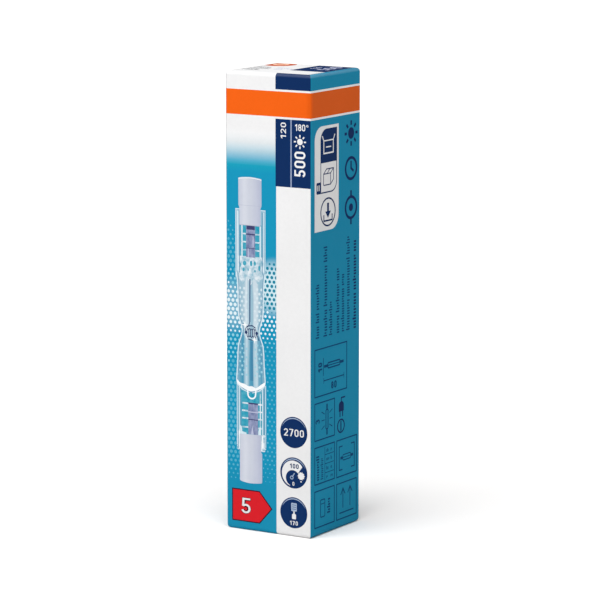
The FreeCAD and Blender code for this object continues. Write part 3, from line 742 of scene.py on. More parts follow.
def merged(values, tol=2e-5):
    out = []
    for v in values:
        if not out or v - out[-1] > tol:
            out.append(v)
    return out


def side_rules(panel):
    """Lines across the folds and up the creases, so that both come out round."""
    half = PANELS[panel]["half"]
    lines = [[(-half - 1, v), (half + 1, v)] for v in LOW[1:] + HIGH[:-1] + [50.0]]
    vs = LOW + HIGH
    for sign in (-1, 1):
        for share in (0.0, 1 / 3, 2 / 3):
            lines.append([(sign * float(edge_u(half, v, share)), v) for v in vs])
    return lines


FX, FY = W / 2 - RF, D / 2 - RF     # half sizes of the flat of an end panel


def end_outline(extra):
    """extra holds points along each edge, as x or y."""
    lo = merged(sorted(set([-FX, FX]) | set(extra.get("front", ()))))
    hi = merged(sorted(set([-FX, FX]) | set(extra.get("rear", ()))))
    ri = merged(sorted(set([-FY, FY]) | set(extra.get("right", ()))))
    le = merged(sorted(set([-FY, FY]) | set(extra.get("left", ()))))
    loop = [(x, -FY) for x in lo[:-1]] + [(FX, y) for y in ri[:-1]] + [(x, FY) for x in hi[::-1][:-1]] + [(-FX, y) for y in le[::-1][:-1]]
    return np.array(loop)


XI, XO, YI, YO, YE, DEPTH = JOINT
SLOT = poly((-XO, YE), (-XI, YE), (-XI, YI), (XI, YI), (XI, YE), (XO, YE), (XO, YO), (-XO, YO))


def end_art(which):
    if which == "top":
        return [("white", [[rect(-12, -12, 12, 12)]], None)] + top_art()
    art = [("white", [[rect(-12, -12, 12, 12)]], None)] + base_art()
    # seen from below, x runs the other way
    return [(ink, [[loop * (-1, 1) for loop in part] for part in parts], clip) for ink, parts, clip in art]


def edge_points(P, T, panel):
    """The points that a cut panel has on each of its edges."""
    used = P[np.unique(T)]
    u, v = used[:, 0], used[:, 1]
    half = PANELS[panel]["half"]
    vs = np.array(LOW + HIGH)
    crease = np.interp(v, vs, [float(edge_u(half, w)) for w in vs])
    found = {"T": u[np.abs(v - V1) < 1e-4], "B": u[np.abs(v - V0) < 1e-4]}
    for side, sign in (("R", 1), ("L", -1)):
        on = np.abs(sign * u - crease) < 1e-4
        if (panel, side) in (("left", "L"), ("rear", "R")):
            x_seam = SEAM_LEFT_Y if panel == "left" else -SEAM_EDGE_X
            on = (on & ((v < SEAM_LO + 1e-4) | (v > SEAM_HI - 1e-4))) | ((np.abs(sign * u - x_seam) < 1e-4) & (v > SEAM_LO - 1e-4) & (v < SEAM_HI + 1e-4))
        found[side] = v[on]
    return found


RING = [("front", "R", "right", "L"), ("right", "R", "rear", "L"), ("rear", "R", "left", "L"), ("left", "R", "front", "L")]
ALONG = {"front": 1, "right": 1, "rear": -1, "left": -1}    # a panel's u, as x or y of the end panels


def build_cuts():
    extra = {p: {} for p in PANELS}
    ends = {"top": {}, "base": {}}
    cuts = {}
    for go in (0, 1):
        cuts = {p: cut(side_outline(p, extra[p]), ART[p], side_rules(p)) for p in PANELS}
        for e in ends:
            cuts[e] = cut(end_outline(ends[e]), end_art(e) + [("raw_board", [[SLOT]], None)])
        if go:
            break
        seen = {p: edge_points(cuts[p][0], cuts[p][1], p) for p in PANELS}
        for a, sa, b, sb in RING:
            both = merged(sorted(list(seen[a][sa]) + list(seen[b][sb]) + ([SEAM_LO, SEAM_HI] if a == "rear" else [])))
            extra[a][sa] = extra[b][sb] = both
        for e, key in (("top", "T"), ("base", "B")):
            P, T, _ = cuts[e]
            used = P[np.unique(T)]
            for p in PANELS:
                fixed, val, at = (1, -FY, 0) if p == "front" else (0, FX, 1) if p == "right" else (1, FY, 0) if p == "rear" else (0, -FX, 1)
                mine = used[np.abs(used[:, fixed] - val) < 1e-4][:, at] * ALONG[p]
                both = merged(sorted(list(seen[p][key]) + list(mine)))
                extra[p][key] = both
                ends[e][p] = sorted(ALONG[p] * v for v in both)
    return cuts


class Shell:
    """Collects corners with their point, normal, map place and ink, then welds them into one closed mesh."""

    def __init__(self):
        self.P, self.N, self.UV, self.ink = [], [], [], []

    def add(self, P, N, UV, ink):
        """P, N: (n, 3, 3); UV: (n, 3, 2); ink: (n,)"""
        self.P.append(P), self.N.append(N), self.UV.append(UV), self.ink.append(ink)

    def mesh(self, name):
        P, N, UV, ink = (np.concatenate(x) for x in (self.P, self.N, self.UV, self.ink))
        co = P.reshape(-1, 3)
        key = np.round(co / 2e-4).astype(np.int64)
        uniq, index = np.unique(key, axis=0, return_inverse=True)
        index = index.ravel()
        mean = np.zeros((len(uniq), 3))
        np.add.at(mean, index, co)
        mean /= np.bincount(index)[:, None]
        # points that rounding put in neighbouring cells
        tree = kdtree.KDTree(len(mean))
        for i, p in enumerate(mean):
            tree.insert(p, i)
        tree.balance()
        to = np.arange(len(mean))
        for i, p in enumerate(mean):
            if to[i] != i:
                continue
            for _, j, _ in tree.find_range(p, 4e-4):
                if j > i:
                    to[j] = i
        index = to[index]
        uniq2, index = np.unique(index, return_inverse=True)
        verts = mean[uniq2] * 0.001
        tri = index.reshape(-1, 3)
        ok = (tri[:, 0] != tri[:, 1]) & (tri[:, 1] != tri[:, 2]) & (tri[:, 0] != tri[:, 2])
        tri, N, UV, ink = tri[ok], N[ok], UV[ok], ink[ok]
        me = bpy.data.meshes.new(name)
        me.vertices.add(len(verts))
        me.vertices.foreach_set("co", verts.astype(np.float32).ravel())
        me.loops.add(len(tri) * 3)
        me.loops.foreach_set("vertex_index", tri.astype(np.int32).ravel())
        me.polygons.add(len(tri))
        me.polygons.foreach_set("loop_start", np.arange(0, len(tri) * 3, 3, dtype=np.int32))
        me.polygons.foreach_set("material_index", ink.astype(np.int32))
        me.update(calc_edges=True)
        layer = me.uv_layers.new(name="OFBake")
        layer.data.foreach_set("uv", UV.reshape(-1, 2).astype(np.float32).ravel())
        me.polygons.foreach_set("use_smooth", np.ones(len(tri), bool))
        me.normals_split_custom_set(N.reshape(-1, 3).astype(np.float32))
        # how closed it is
        e = np.sort(np.concatenate([tri[:, [0, 1]], tri[:, [1, 2]], tri[:, [2, 0]]]), axis=1)
        _, count = np.unique(e, axis=0, return_counts=True)
        v = verts[tri] * 1000
        volume = np.einsum("ij,ij->i", v[:, 0], np.cross(v[:, 1], v[:, 2])).sum() / 6
        print("carton mesh:", len(verts), "points,", len(tri), "triangles,", int((count != 2).sum()), "open or shared edges, volume", round(volume, 1), "mm3")
        return me


# Places on the bake map, in pixels of 1024: (scale, x, y, turned)
K1, K2 = 11.8, 7.0
MAPS = {
    ("front", 0): (K1, 6, 6), ("front", 1): (K1, 6 + 258, 6), ("right", 0): (K1, 6 + 516, 6), ("right", 1): (K1, 6 + 516 + 247, 6),
}


def side_uv(panel, u, v, upper):
    half = PANELS[panel]["half"]
    if panel in ("front", "right"):
        k, x, y = MAPS[(panel, int(upper))]
        return np.stack([(x + (u + half) * k) / 1024, (y + (v - (50.0 if upper else V0)) * k) / 1024], -1)
    y = 614 if panel == "rear" else 614 + 158
    return np.stack([(6 + (v - V0) * K2) / 1024, (y + (u + half) * K2) / 1024], -1)


def end_uv(which, x, y):
    if which == "top":
        return np.stack([(734 + (x + 10) * 12.0) / 1024, (620 + (y + 10) * 12.0) / 1024], -1)
    return np.stack([(6 + (x + 10) * 5.0) / 1024, (922 + (y + 10) * 4.8) / 1024], -1)


def carton():
    cuts = build_cuts()
    shell = Shell()
    for panel in PANELS:
        P, T, ink = cuts[panel]
        u, v = P[:, 0].copy(), P[:, 1]
        half = PANELS[panel]["half"]
        vs = np.array(LOW + HIGH)
        crease = np.interp(v, vs, [float(edge_u(half, w)) for w in vs])
        on = np.abs(np.abs(u) - crease) < 1e-4
        u[on] = np.sign(u[on]) * edge_u(half, v[on])
        Q, N = on_side(panel, u, v)
        upper = v[T].mean(1) > 50
        UV = np.where(upper[:, None, None], side_uv(panel, P[:, 0], v, True)[T], side_uv(panel, P[:, 0], v, False)[T])
        shell.add(Q[T], N[T], UV, ink)
    for which, z, sign in (("top", H, 1.0), ("base", 0.0, -1.0)):
        P, T, ink = cuts[which]
        slot = ink == INK["raw_board"]
        Q = np.stack([P[:, 0], P[:, 1], np.full(len(P), z)], -1)
        F = Q - (0, 0, sign * DEPTH)
        N = np.tile((0, 0, sign), (len(P), 1))
        UV = end_uv(which, P[:, 0], P[:, 1])
        order = [0, 1, 2] if sign > 0 else [0, 2, 1]
        A, B = T[~slot][:, order], T[slot][:, order]
        shell.add(Q[A], N[A], UV[A], ink[~slot])
        shell.add(F[B], N[B], UV[B], ink[slot])
        # the walls of the joint
        e = np.concatenate([B[:, [0, 1]], B[:, [1, 2]], B[:, [2, 0]]])
        key = {tuple(x) for x in e.tolist()}
        walls = np.array([(a, b) for a, b in key if (b, a) not in key])
        a, b = walls[:, 0], walls[:, 1]
        d = Q[b] - Q[a]
        n = np.stack([-d[:, 1], d[:, 0], np.zeros(len(d))], -1) * sign
        n /= np.linalg.norm(n, axis=1)[:, None]
        n3 = np.repeat(n[:, None], 3, 1)
        spot = np.array([[(120, 930), (128, 930), (128, 938)], [(120, 930), (128, 938), (120, 938)]]) / 1024
        raw = np.full(len(walls), INK["raw_board"])
        shell.add(np.stack([F[b], F[a], Q[a]], 1), n3, np.tile(spot[0], (len(walls), 1, 1)), raw)
        shell.add(np.stack([F[b], Q[a], Q[b]], 1), n3, np.tile(spot[1], (len(walls), 1, 1)), raw)
    seam(shell, cuts)
    return shell.mesh("carton_printed")


def seam(shell, cuts):
    """The glued side seam at the rear left corner: the left panel turns in, the glue flap, and the rear panel's cut edge."""
    PL, TL, inkL = cuts["left"]
    used = PL[np.unique(TL)]
    on = (np.abs(used[:, 0] + SEAM_LEFT_Y) < 1e-4) & (used[:, 1] > SEAM_LO - 1e-4) & (used[:, 1] < SEAM_HI + 1e-4)
    levels = merged(sorted(used[on][:, 1]))
    turn = np.linspace(0, PI / 2, 6)
    ax, ay, r = -W / 2 + RC, SEAM_LEFT_Y, RC
    ring = [((ax - r * math.cos(t), ay + r * math.sin(t)), (-math.cos(t), math.sin(t))) for t in turn]
    cols = [(ring[i], ring[i + 1], "turn") for i in range(5)]
    cols.append((((ax, SEAM_FLAP_Y), (0, 1)), ((SEAM_EDGE_X, SEAM_FLAP_Y), (0, 1)), "raw_board"))
    cols.append((((SEAM_EDGE_X, SEAM_FLAP_Y), (-1, 0)), ((SEAM_EDGE_X, D / 2), (-1, 0)), "raw_board"))
    C = PL[TL].mean(1)
    near = C[:, 0] < -SEAM_LEFT_Y + 2.5
    for a, b in zip(levels[:-1], levels[1:]):
        m = (a + b) / 2
        i = np.argmin(np.where(near, np.hypot((C[:, 0] + SEAM_LEFT_Y) * 0.2, (C[:, 1] - m)), 1e9))
        tone = covered(ART["left"], -SEAM_LEFT_Y + 0.01, m)
        for k, ((p, n), (q, n2), what) in enumerate(cols):
            P = np.array([(p[0], p[1], a), (p[0], p[1], b), (q[0], q[1], b), (q[0], q[1], a)])
            N = np.array([(n[0], n[1], 0), (n[0], n[1], 0), (n2[0], n2[1], 0), (n2[0], n2[1], 0)], float)
            ink = tone if what == "turn" else INK[what]
            UV = np.array([(150 + 7 * a, 925 + 12 * k), (150 + 7 * b, 925 + 12 * k), (150 + 7 * b, 936 + 12 * k), (150 + 7 * a, 936 + 12 * k)]) / 1024
            for f in ((0, 1, 2), (0, 2, 3)):
                f = list(f)
                shell.add(P[f][None], N[f][None], UV[f][None], np.array([ink]))
    # the small level faces that close the seam's ends
    PR, TR, _ = cuts["rear"]
    for z, sign in ((SEAM_LO, 1.0), (SEAM_HI, -1.0)):
        ul = sorted(u for u, v in used if abs(v - z) < 1e-4 and u < -SEAM_LEFT_Y + 1e-4)
        usedR = PR[np.unique(TR)]
        ur = sorted(u for u, v in usedR if abs(v - z) < 1e-4 and u > -SEAM_EDGE_X - 1e-4)
        left = on_side("left", np.array(ul), np.full(len(ul), z))[0][:, :2]       # from the crease's middle to the seam
        rear = on_side("rear", np.array(ur), np.full(len(ur), z))[0][:, :2]       # from the seam to the crease's middle
        loop = [tuple(p) for p in left]                                         # crease middle .. (-W/2, SEAM_LEFT_Y)
        loop += [tuple(p) for (p, _) in ring[1:]]                               # round to the flap
        loop += [(SEAM_EDGE_X, SEAM_FLAP_Y)] + [tuple(p) for p in rear]           # flap, cut edge, back to the crease's middle
        if math.hypot(loop[0][0] - loop[-1][0], loop[0][1] - loop[-1][1]) < 1e-4:
            loop = loop[:-1]
        loop = np.array(loop)
        pts = [Vector((float(a), float(b))) for a, b in loop]
        out = delaunay_2d_cdt(pts, [(i, (i + 1) % len(pts)) for i in range(len(pts))], [], 0, 1e-6, False)
        P = np.array([(p.x, p.y, z) for p in out[0]])
        for t in out[2]:
            t = list(t)
            a, b, c = P[t]
            area = (b - a)[0] * (c - a)[1] - (b - a)[1] * (c - a)[0]
            mid = (a + b + c) / 3
            if abs(area) < 1e-9 or not inside(loop, mid[:1], mid[1:2])[0]:
                continue
            if area * sign < 0:
                t = t[::-1]
            UV = (np.array([(130, 930), (136, 930), (136, 936)]) / 1024)
            shell.add(P[t][None], np.tile((0, 0, sign), (1, 3, 1)).astype(float), UV[None], np.array([INK["raw_board"]]))


def covered(art, u, v):
    """The ink at one place of a panel."""
    ink = 0
    for name, parts, clip in art:
        if covered_by(parts, np.array([u]), np.array([v]))[0] and (not clip or covered_by(clip, np.array([u]), np.array([v]))[0]):
            ink = INK[name]
    return ink


# ---------------------------------------------------------------------------
# Inks on white coated board under a satin varnish
# ---------------------------------------------------------------------------
def lin(c):
    """Linear colour of an sRGB triple in 0..255."""
    out = []
    for x in c:
        x /= 255.0
        out.append(x / 12.92 if x <= 0.04045 else ((x + 0.055) / 1.055) ** 2.4)
    return out


class Tree:
    def __init__(self, nt):
        self.nt = nt

    def node(self, kind, **props):
        n = self.nt.nodes.new(kind)
        for k, v in props.items():
            setattr(n, k, v)
        return n

    def put(self, socket, value):
        if isinstance(value, bpy.types.NodeSocket):
            self.nt.links.new(value, socket)
        else:
            socket.default_value = value

    def math(self, op, a, b=0.0, clamp=False):
        n = self.node("ShaderNodeMath", operation=op, use_clamp=clamp)
        self.put(n.inputs[0], a)
        self.put(n.inputs[1], b)
        return n.outputs[0]

    def range(self, value, a, b, c, d, kind="LINEAR"):
        n = self.node("ShaderNodeMapRange", interpolation_type=kind, clamp=True)
        for s, x in zip(("Value", "From Min", "From Max", "To Min", "To Max"), (value, a, b, c, d)):
            self.put(n.inputs[s], x)
        return n.outputs[0]

    def mix(self, fac, a, b, blend="MIX"):
        n = self.node("ShaderNodeMix", data_type="RGBA", blend_type=blend)
        self.put(n.inputs[0], fac)
        self.put(n.inputs[6], a if isinstance(a, bpy.types.NodeSocket) else (*a[:3], 1.0))
        self.put(n.inputs[7], b if isinstance(b, bpy.types.NodeSocket) else (*b[:3], 1.0))
        return n.outputs[2]

    def ramp(self, fac, stops, kind="LINEAR"):
        n = self.node("ShaderNodeValToRGB")
        n.color_ramp.interpolation = kind
        els = n.color_ramp.elements
        while len(els) > 1:
            els.remove(els[-1])
        els[0].position, els[0].color = stops[0][0], (*stops[0][1], 1.0)
        for pos, col in stops[1:]:
            e = els.new(pos)
            e.color = (*col, 1.0)
        self.put(n.inputs[0], fac)
        return n.outputs[0]

    def noise(self, vec, scale, detail=2.0, rough=0.5, stretch=None):
        if stretch:
            m = self.node("ShaderNodeMapping")
            m.inputs["Scale"].default_value = stretch
            self.nt.links.new(vec, m.inputs["Vector"])
            vec = m.outputs[0]
        n = self.node("ShaderNodeTexNoise")
        n.inputs["Scale"].default_value = scale
        n.inputs["Detail"].default_value = detail
        n.inputs["Roughness"].default_value = rough
        self.nt.links.new(vec, n.inputs["Vector"])
        return n.outputs[0]


SPEC = 0.015                    # the varnish is thin: it shows as a soft light on the folds only
SPEC_FOLD = 0.30


def printed(name, colour, rough=0.40, mottle=0.03, fibre=1.0, spec=SPEC, fold_highlight=0.075):
    """colour is a linear triple, or a function of (tree, object coordinates, x, y, z) that gives a colour socket."""
    m = bpy.data.materials.new(name)
    m.use_nodes = True
    nt = m.node_tree
    nt.nodes.clear()
    t = Tree(nt)
    out = t.node("ShaderNodeOutputMaterial")
    bsdf = t.node("ShaderNodeBsdfPrincipled")
    nt.links.new(bsdf.outputs[0], out.inputs[0])
    co = t.node("ShaderNodeTexCoord").outputs["Object"]
    sep = t.node("ShaderNodeSeparateXYZ")
    nt.links.new(co, sep.inputs[0])
    x, y, z = sep.outputs
    base = colour(t, co, x, y, z) if callable(colour) else colour
    # painted highlight: the colour on the folds round the top is mixed towards a pale blue-white
    fold = t.math("MULTIPLY", t.range(z, (H - 0.80) * 0.001, (H - 0.45) * 0.001, 0.0, 1.0, "SMOOTHSTEP"), t.range(z, (H - 0.16) * 0.001, (H - 0.04) * 0.001, 1.0, 0.0, "SMOOTHSTEP"))
    base = t.mix(t.math("MULTIPLY", fold, fold_highlight), base, (0.74, 0.86, 0.95))
    # painted shade along the front panel's left crease, fading out over the front and the left panel, where the crease
    # turns away from the light
    crease_shade = t.math("MULTIPLY", t.range(x, (-W / 2 + 0.12) * 0.001, (-W / 2 + 0.42) * 0.001, 1.0, 0.0, "SMOOTHSTEP"), t.range(y, (-D / 2 + 0.12) * 0.001, (-D / 2 + 0.42) * 0.001, 1.0, 0.0, "SMOOTHSTEP"))
    base = t.mix(t.math("MULTIPLY", crease_shade, 0.42), base, (0.16, 0.17, 0.19))
    # ink density: slow drift over the sheet and a fine mottle in the coating
    slow = t.noise(co, 70.0, 2.0, 0.5)
    fine = t.noise(co, 1500.0, 3.0, 0.6)
    d = t.math("ADD", t.range(slow, 0.3, 0.7, 1 - mottle * 0.6, 1 + mottle * 0.6), t.range(fine, 0.3, 0.7, -mottle * 0.5, mottle * 0.5))
    grey = t.node("ShaderNodeCombineColor")
    for s in grey.inputs:
        nt.links.new(d, s)
    shown = t.mix(1.0, base, grey.outputs[0], "MULTIPLY")
    nt.links.new(shown, bsdf.inputs["Base Color"])
    # satin varnish: it lies a little unevenly over the board
    gloss = t.noise(co, 420.0, 3.0, 0.55)
    nt.links.new(t.range(gloss, 0.3, 0.7, rough - 0.05, rough + 0.06), bsdf.inputs["Roughness"])
    rise = t.range(z, (H - 0.9) * 0.001, (H - 0.15) * 0.001, spec, spec + SPEC_FOLD * (0.7 if name == "navy" else 1.0), "SMOOTHSTEP")
    t.put(bsdf.inputs["Specular IOR Level"], t.math("MULTIPLY", rise, t.range(z, (H - 0.06) * 0.001, (H - 0.005) * 0.001, 1.0, 0.02, "SMOOTHSTEP")))
    # the board's fibres, along its height, under the coating
    f1 = t.noise(co, 2600.0, 3.0, 0.6, stretch=(1.0, 1.0, 0.28))
    f2 = t.noise(co, 260.0, 2.0, 0.5)
    h = t.math("ADD", t.math("MULTIPLY", f1, 0.35), t.math("MULTIPLY", f2, 0.65))
    bump = t.node("ShaderNodeBump")
    bump.inputs["Strength"].default_value = 0.16 * fibre
    bump.inputs["Distance"].default_value = 0.00006
    nt.links.new(h, bump.inputs["Height"])
    nt.links.new(bump.outputs[0], bsdf.inputs["Normal"])
    return m


FRONT_LIGHT, SIDE_LIGHT = 1.175, 0.85    # how bright a white of 1 comes out on the two panels


def f(c, k=FRONT_LIGHT):
    return [min(1.0, x / k) for x in lin(c)]


WHITE = (0.744, 0.745, 0.749)
TEAL = f((25, 148, 187))
TEAL_SIDE = [x / SIDE_LIGHT for x in lin((22, 119, 151))]


def white(t, co, x, y, z):
    """White coated board, with painted shade that makes it a touch greyer towards its foot."""
    upper = t.mix(t.range(z, 0.030, 0.097, 1.0, 0.0), WHITE, [0.958 * c for c in WHITE])
    return t.mix(t.range(z, 0.0, 0.034, 1.0, 0.0, "SMOOTHSTEP"), upper, [0.89 * c for c in WHITE])


def ramp_up(t, z):
    """The teal column fades to white between 79 and 88 mm."""
    pos = t.range(z, 0.076, 0.088, 0.0, 1.0)
    stops = [(0.0, TEAL)]
    for mm, c in ((78.5, (25, 150, 188)), (80, (28, 160, 188)), (81, (84, 174, 203)), (82, (138, 191, 214)), (83, (176, 208, 222)), (84, (206, 223, 231)), (85, (226, 232, 235)),
                  (86, (236, 239, 241)), (87, (242, 243, 244))):
        stops.append(((mm - 76) / 12.0, f(c)))
    stops.append((1.0, WHITE))
    return t.ramp(pos, stops)


def patch(t, x, z, cx, cz, rx, rz, most):
    """A soft ellipse of light on the front, in mm."""
    dx = t.math("DIVIDE", t.math("SUBTRACT", x, (cx - A0) * 0.001), rx * 0.001)
    dz = t.math("DIVIDE", t.math("SUBTRACT", z, cz * 0.001), rz * 0.001)
    q = t.math("ADD", t.math("MULTIPLY", dx, dx), t.math("MULTIPLY", dz, dz))
    return t.range(q, 0.0, 1.0, most, 0.0, "SMOOTHSTEP")


def teal_front(t, co, x, y, z):
    g = t.math("MULTIPLY", t.math("MAXIMUM", *(patch(t, x, z, *p) for p in GLOWS)), 1.6, clamp=True)
    # painted shade: the teal darkens towards the foot, below 24 mm
    low = t.mix(t.range(z, 0.002, 0.024, 1.0, 0.0, "SMOOTHSTEP"), ramp_up(t, z), f((27, 139, 174)))
    return t.mix(g, low, f((204, 230, 238)))


def teal_rear(t, co, x, y, z):
    return ramp_up(t, z)


def across(t, x, stops, wobble=None, co=None):
    """Colour bands across the front, at a in mm."""
    lo, hi = stops[0][0], stops[-1][0]
    pos = t.range(x, (lo - A0) * 0.001, (hi - A0) * 0.001, 0.0, 1.0)
    if wobble:
        n = t.noise(co, 380.0, 2.0, 0.5, stretch=(1.0, 1.0, 0.22))
        pos = t.math("ADD", pos, t.range(n, 0.25, 0.75, -wobble, wobble), clamp=True)
    return t.ramp(pos, [((a - lo) / (hi - lo), c) for a, c in stops], "EASE")


def whiter(k, dark=(40, 158, 190), pale=(226, 240, 245)):
    a, b = f(dark), f(pale)
    return [p + (q - p) * k for p, q in zip(a, b)]


def glass(t, co, x, y, z):
    def k(v):
        return whiter(v, (48, 144, 178), (204, 224, 234))
    return across(t, x, [(2.4, k(0.5)), (2.9, k(0.45)), (3.4, k(0.18)), (4.1, k(0.06)), (4.5, k(0.5)), (5.0, k(0.86)), (5.5, k(0.5)), (5.9, k(0.12)), (6.6, k(0.08)),
                         (7.0, k(0.70)), (7.6, k(0.86)), (8.1, k(0.25)), (8.8, k(0.12)), (9.3, k(0.5)), (9.9, k(0.5))], 0.03, co)


def glass_up(t, co, x, y, z):
    def k(v):
        return whiter(v, (92, 160, 188), (213, 226, 234))
    return across(t, x, [(2.6, k(0.65)), (3.1, k(0.55)), (3.6, k(0.38)), (4.3, k(0.52)), (4.9, k(0.98)), (5.5, k(0.58)), (6.3, k(0.36)), (6.9, k(0.88)),
                         (7.6, k(0.86)), (8.2, k(0.42)), (8.8, k(0.34)), (9.4, k(0.5))], 0.05, co)


def glass_side(t, co, x, y, z):
    def k(v):
        return whiter(v, (84, 160, 190), (196, 218, 230))
    low = t.range(z, 0.044, 0.046, 0.55, 0.0)
    c = across(t, x, [(2.2, k(0.55)), (2.6, k(0.60)), (3.2, k(0.30)), (3.8, k(0.65)), (6.0, k(0.30)), (8.5, k(0.70)), (9.0, k(0.35)), (9.4, k(0.52)), (9.9, k(0.15))], 0.02, co)
    return t.mix(low, c, f((84, 158, 186)))


def glass_clear(t, co, x, y, z):
    n = t.noise(co, 900.0, 3.0, 0.6)
    return t.mix(t.range(n, 0.35, 0.65, 0.0, 0.45), f((33, 150, 178)), f((118, 194, 212)))


def ceramic(t, co, x, y, z):
    c = across(t, x, [(3.0, f((188, 197, 214))), (3.5, f((201, 206, 220))), (4.6, f((211, 215, 226))), (6.0, f((201, 206, 219))), (7.4, f((193, 198, 215))), (8.5, f((182, 188, 209))),
                      (8.95, f((170, 184, 207)))], 0.02, co)
    n = t.noise(co, 300.0, 4.0, 0.6, stretch=(1, 1, 0.4))
    return t.mix(t.range(n, 0.4, 0.7, 0.0, 0.25), c, f((214, 218, 228)))


def foil(t, co, x, y, z):
    n = t.noise(co, 1300.0, 3.0, 0.6, stretch=(1, 1, 0.5))
    return t.mix(t.range(n, 0.35, 0.65, 0.0, 1.0), f((110, 122, 160)), f((156, 164, 196)))


def frost(t, co, x, y, z):
    n = t.noise(co, 800.0, 3.0, 0.6)
    return t.mix(t.range(n, 0.38, 0.62, 0.0, 1.0), f((150, 190, 208)), f((228, 236, 242)))


def orange(t, co, x, y, z):
    """The bright band, with painted shade that darkens it towards the crease on the right."""
    return t.mix(t.range(x, (W / 2 - 1.5) * 0.001, (W / 2 - 0.3) * 0.001, 0.0, 0.55, "SMOOTHSTEP"), f((243, 100, 24)), f((222, 88, 18)))


def orange_side(t, co, x, y, z):
    # painted light: the band on the side is lighter within about 1.3 mm of the front crease, where the crease catches
    # the light
    near = t.range(y, (-D / 2 + 0.25) * 0.001, (-D / 2 + 1.3) * 0.001, 1.0, 0.0, "SMOOTHSTEP")
    return t.mix(near, [c / SIDE_LIGHT for c in lin((192, 81, 26))], [c / SIDE_LIGHT for c in lin((208, 84, 20))])


def cut_board(t, co, x, y, z):
    n = t.noise(co, 4000.0, 3.0, 0.7)
    return t.mix(t.range(n, 0.35, 0.65, 0.0, 1.0), (0.50, 0.47, 0.43), (0.66, 0.63, 0.59))


COLOURS = {
    "white": white,
    "orange": orange,
    "orange_pale": f((250, 196, 168)),
    "orange_top": f((200, 82, 26)),
    "orange_side": orange_side,
    "navy": f((18, 47, 95)),
    "teal_front": teal_front,
    "teal_rear": teal_rear,
    "teal_side": TEAL_SIDE,
    "navy_rule": f((150, 163, 192)),
    "dot_white": f((226, 240, 245)),
    "dot_pale": f((140, 204, 222)),
    "dot_faint": f((88, 174, 202)),
    "dot_teal": f((26, 132, 162)),
    "glass": glass,
    "glass_up": glass_up,
    "glass_side": glass_side,
    "glass_clear": glass_clear,
    "glass_dot": f((158, 206, 222)),
    "glass_dot_up": f((214, 229, 236)),
    "glass_line": f((214, 232, 240)),
    "glass_shade": f((96, 148, 180)),
    "frost": frost,
    "foil": foil,
    "foil_dark": f((66, 66, 108)),
    "foil_pale": f((190, 194, 220)),
    "wire": f((72, 136, 170)),
    "wire_dark": f((64, 100, 136)),
    "coil": f((44, 62, 104)),
    "glint": f((246, 249, 251)),
    "ceramic": ceramic,
    "ceramic_shade": f((176, 182, 202)),
    "key_line": f((34, 16, 34)),
    "red": f((214, 34, 43)),
    "arc_line": f((162, 180, 206)),
    "navy_side": [x / SIDE_LIGHT for x in lin((12, 38, 80))],
    "label": [0.93 * x for x in WHITE],
    "side_ink": [x / SIDE_LIGHT for x in lin((4, 56, 94))],
    "grey_print": f((54, 56, 66)),
    "lilac_print": f((176, 182, 214)),
    "sky_print": f((196, 200, 224)),
    "raw_board": cut_board,
}


# ---------------------------------------------------------------------------
# Camera, lights and floor
# ---------------------------------------------------------------------------
scene = bpy.context.scene

cam_data = bpy.data.cameras.new("view")
cam_data.sensor_fit = "HORIZONTAL"
cam_data.sensor_width = 36.0
cam_data.lens = 196.2
cam_data.clip_start = 0.05
cam_data.clip_end = 60.0
cam = bpy.data.objects.new("view", cam_data)
scene.collection.objects.link(cam)
right, up, back = (0.8515, 0.5243, 0.0), (-0.08635, 0.14024, 0.98629), (0.51714, -0.83987, 0.16470)
cam.matrix_world = Matrix((
    (right[0], up[0], back[0], 0.36789),
    (right[1], up[1], back[1], -0.59470),
    (right[2], up[2], back[2], 0.16655),
    (0, 0, 0, 1)))
scene.camera = cam

scene.view_settings.view_transform = "Standard"
scene.view_settings.look = "None"
scene.view_settings.exposure = 0.0
scene.view_settings.gamma = 1.0

world = bpy.data.worlds.new("studio")
world.use_nodes = True
bg = world.node_tree.nodes["Background"]
bg.inputs[0].default_value = (1.0, 1.0, 1.0, 1.0)
bg.inputs[1].default_value = 0.125
scene.world = world


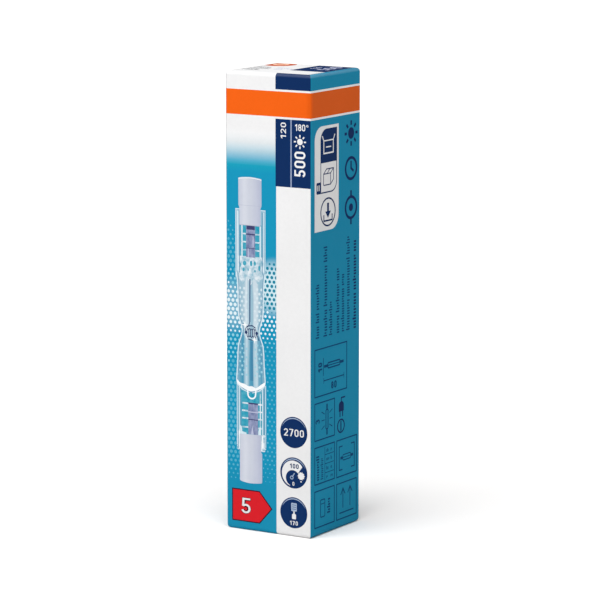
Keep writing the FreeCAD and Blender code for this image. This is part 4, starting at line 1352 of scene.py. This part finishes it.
def area(name, at, to, size, power, colour=(1, 1, 1), size_y=None):
    data = bpy.data.lights.new(name, "AREA")
    data.shape = "RECTANGLE" if size_y else "SQUARE"
    data.size = size
    if size_y:
        data.size_y = size_y
    data.energy = power
    data.color = colour
    o = bpy.data.objects.new(name, data)
    scene.collection.objects.link(o)
    o.location = at
    o.rotation_euler = (Vector(to) - Vector(at)).to_track_quat("-Z", "Y").to_euler()
    return o


sun_data = bpy.data.lights.new("overhead", "SUN")
sun_data.energy = 3.78
sun_data.angle = math.radians(70)
overhead = bpy.data.objects.new("overhead", sun_data)
scene.collection.objects.link(overhead)
overhead.rotation_euler = Vector((-0.07, 0.45, -1.0)).to_track_quat("-Z", "Y").to_euler()
area("key", (-0.06, -0.14, 0.23), (0.0, 0.0, 0.09), 0.10, 0.055)

floor_mesh = bpy.data.meshes.new("floor")
S = 14.0
floor_mesh.from_pydata([(-S, -S, 0), (S, -S, 0), (S, S, 0), (-S, S, 0)], [], [(0, 1, 2, 3)])
floor = bpy.data.objects.new("floor", floor_mesh)
scene.collection.objects.link(floor)
fm = bpy.data.materials.new("pale_floor")
fm.use_nodes = True
ft = Tree(fm.node_tree)
fb = fm.node_tree.nodes["Principled BSDF"]
fco = ft.node("ShaderNodeTexCoord").outputs["Object"]
fm.node_tree.links.new(ft.mix(ft.range(ft.noise(fco, 30.0, 3.0, 0.5), 0.3, 0.7, 0.0, 1.0), (0.914, 0.904, 0.897), (0.918, 0.908, 0.901)), fb.inputs["Base Color"])
fb.inputs["Roughness"].default_value = 0.9
fb.inputs["Specular IOR Level"].default_value = 0.0
floor_mesh.materials.append(fm)

# ---------------------------------------------------------------------------
# The carton
# ---------------------------------------------------------------------------
mesh = carton()
for ink_name in INK_NAMES:
    rough = 0.42
    # the painted highlight on the folds round the top is weaker on navy
    mesh.materials.append(printed("ink_" + ink_name, COLOURS[ink_name], rough=0.8 if ink_name == "raw_board" else rough, mottle=0.03, fibre=2.0 if ink_name == "raw_board" else 1.0,
                                  spec=0.1 if ink_name == "raw_board" else SPEC, fold_highlight=0.02 if ink_name == "navy" else 0.075))
piece = bpy.data.objects.new("carton_printed", mesh)
scene.collection.objects.link(piece)
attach(piece, "root")
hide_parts("carton")
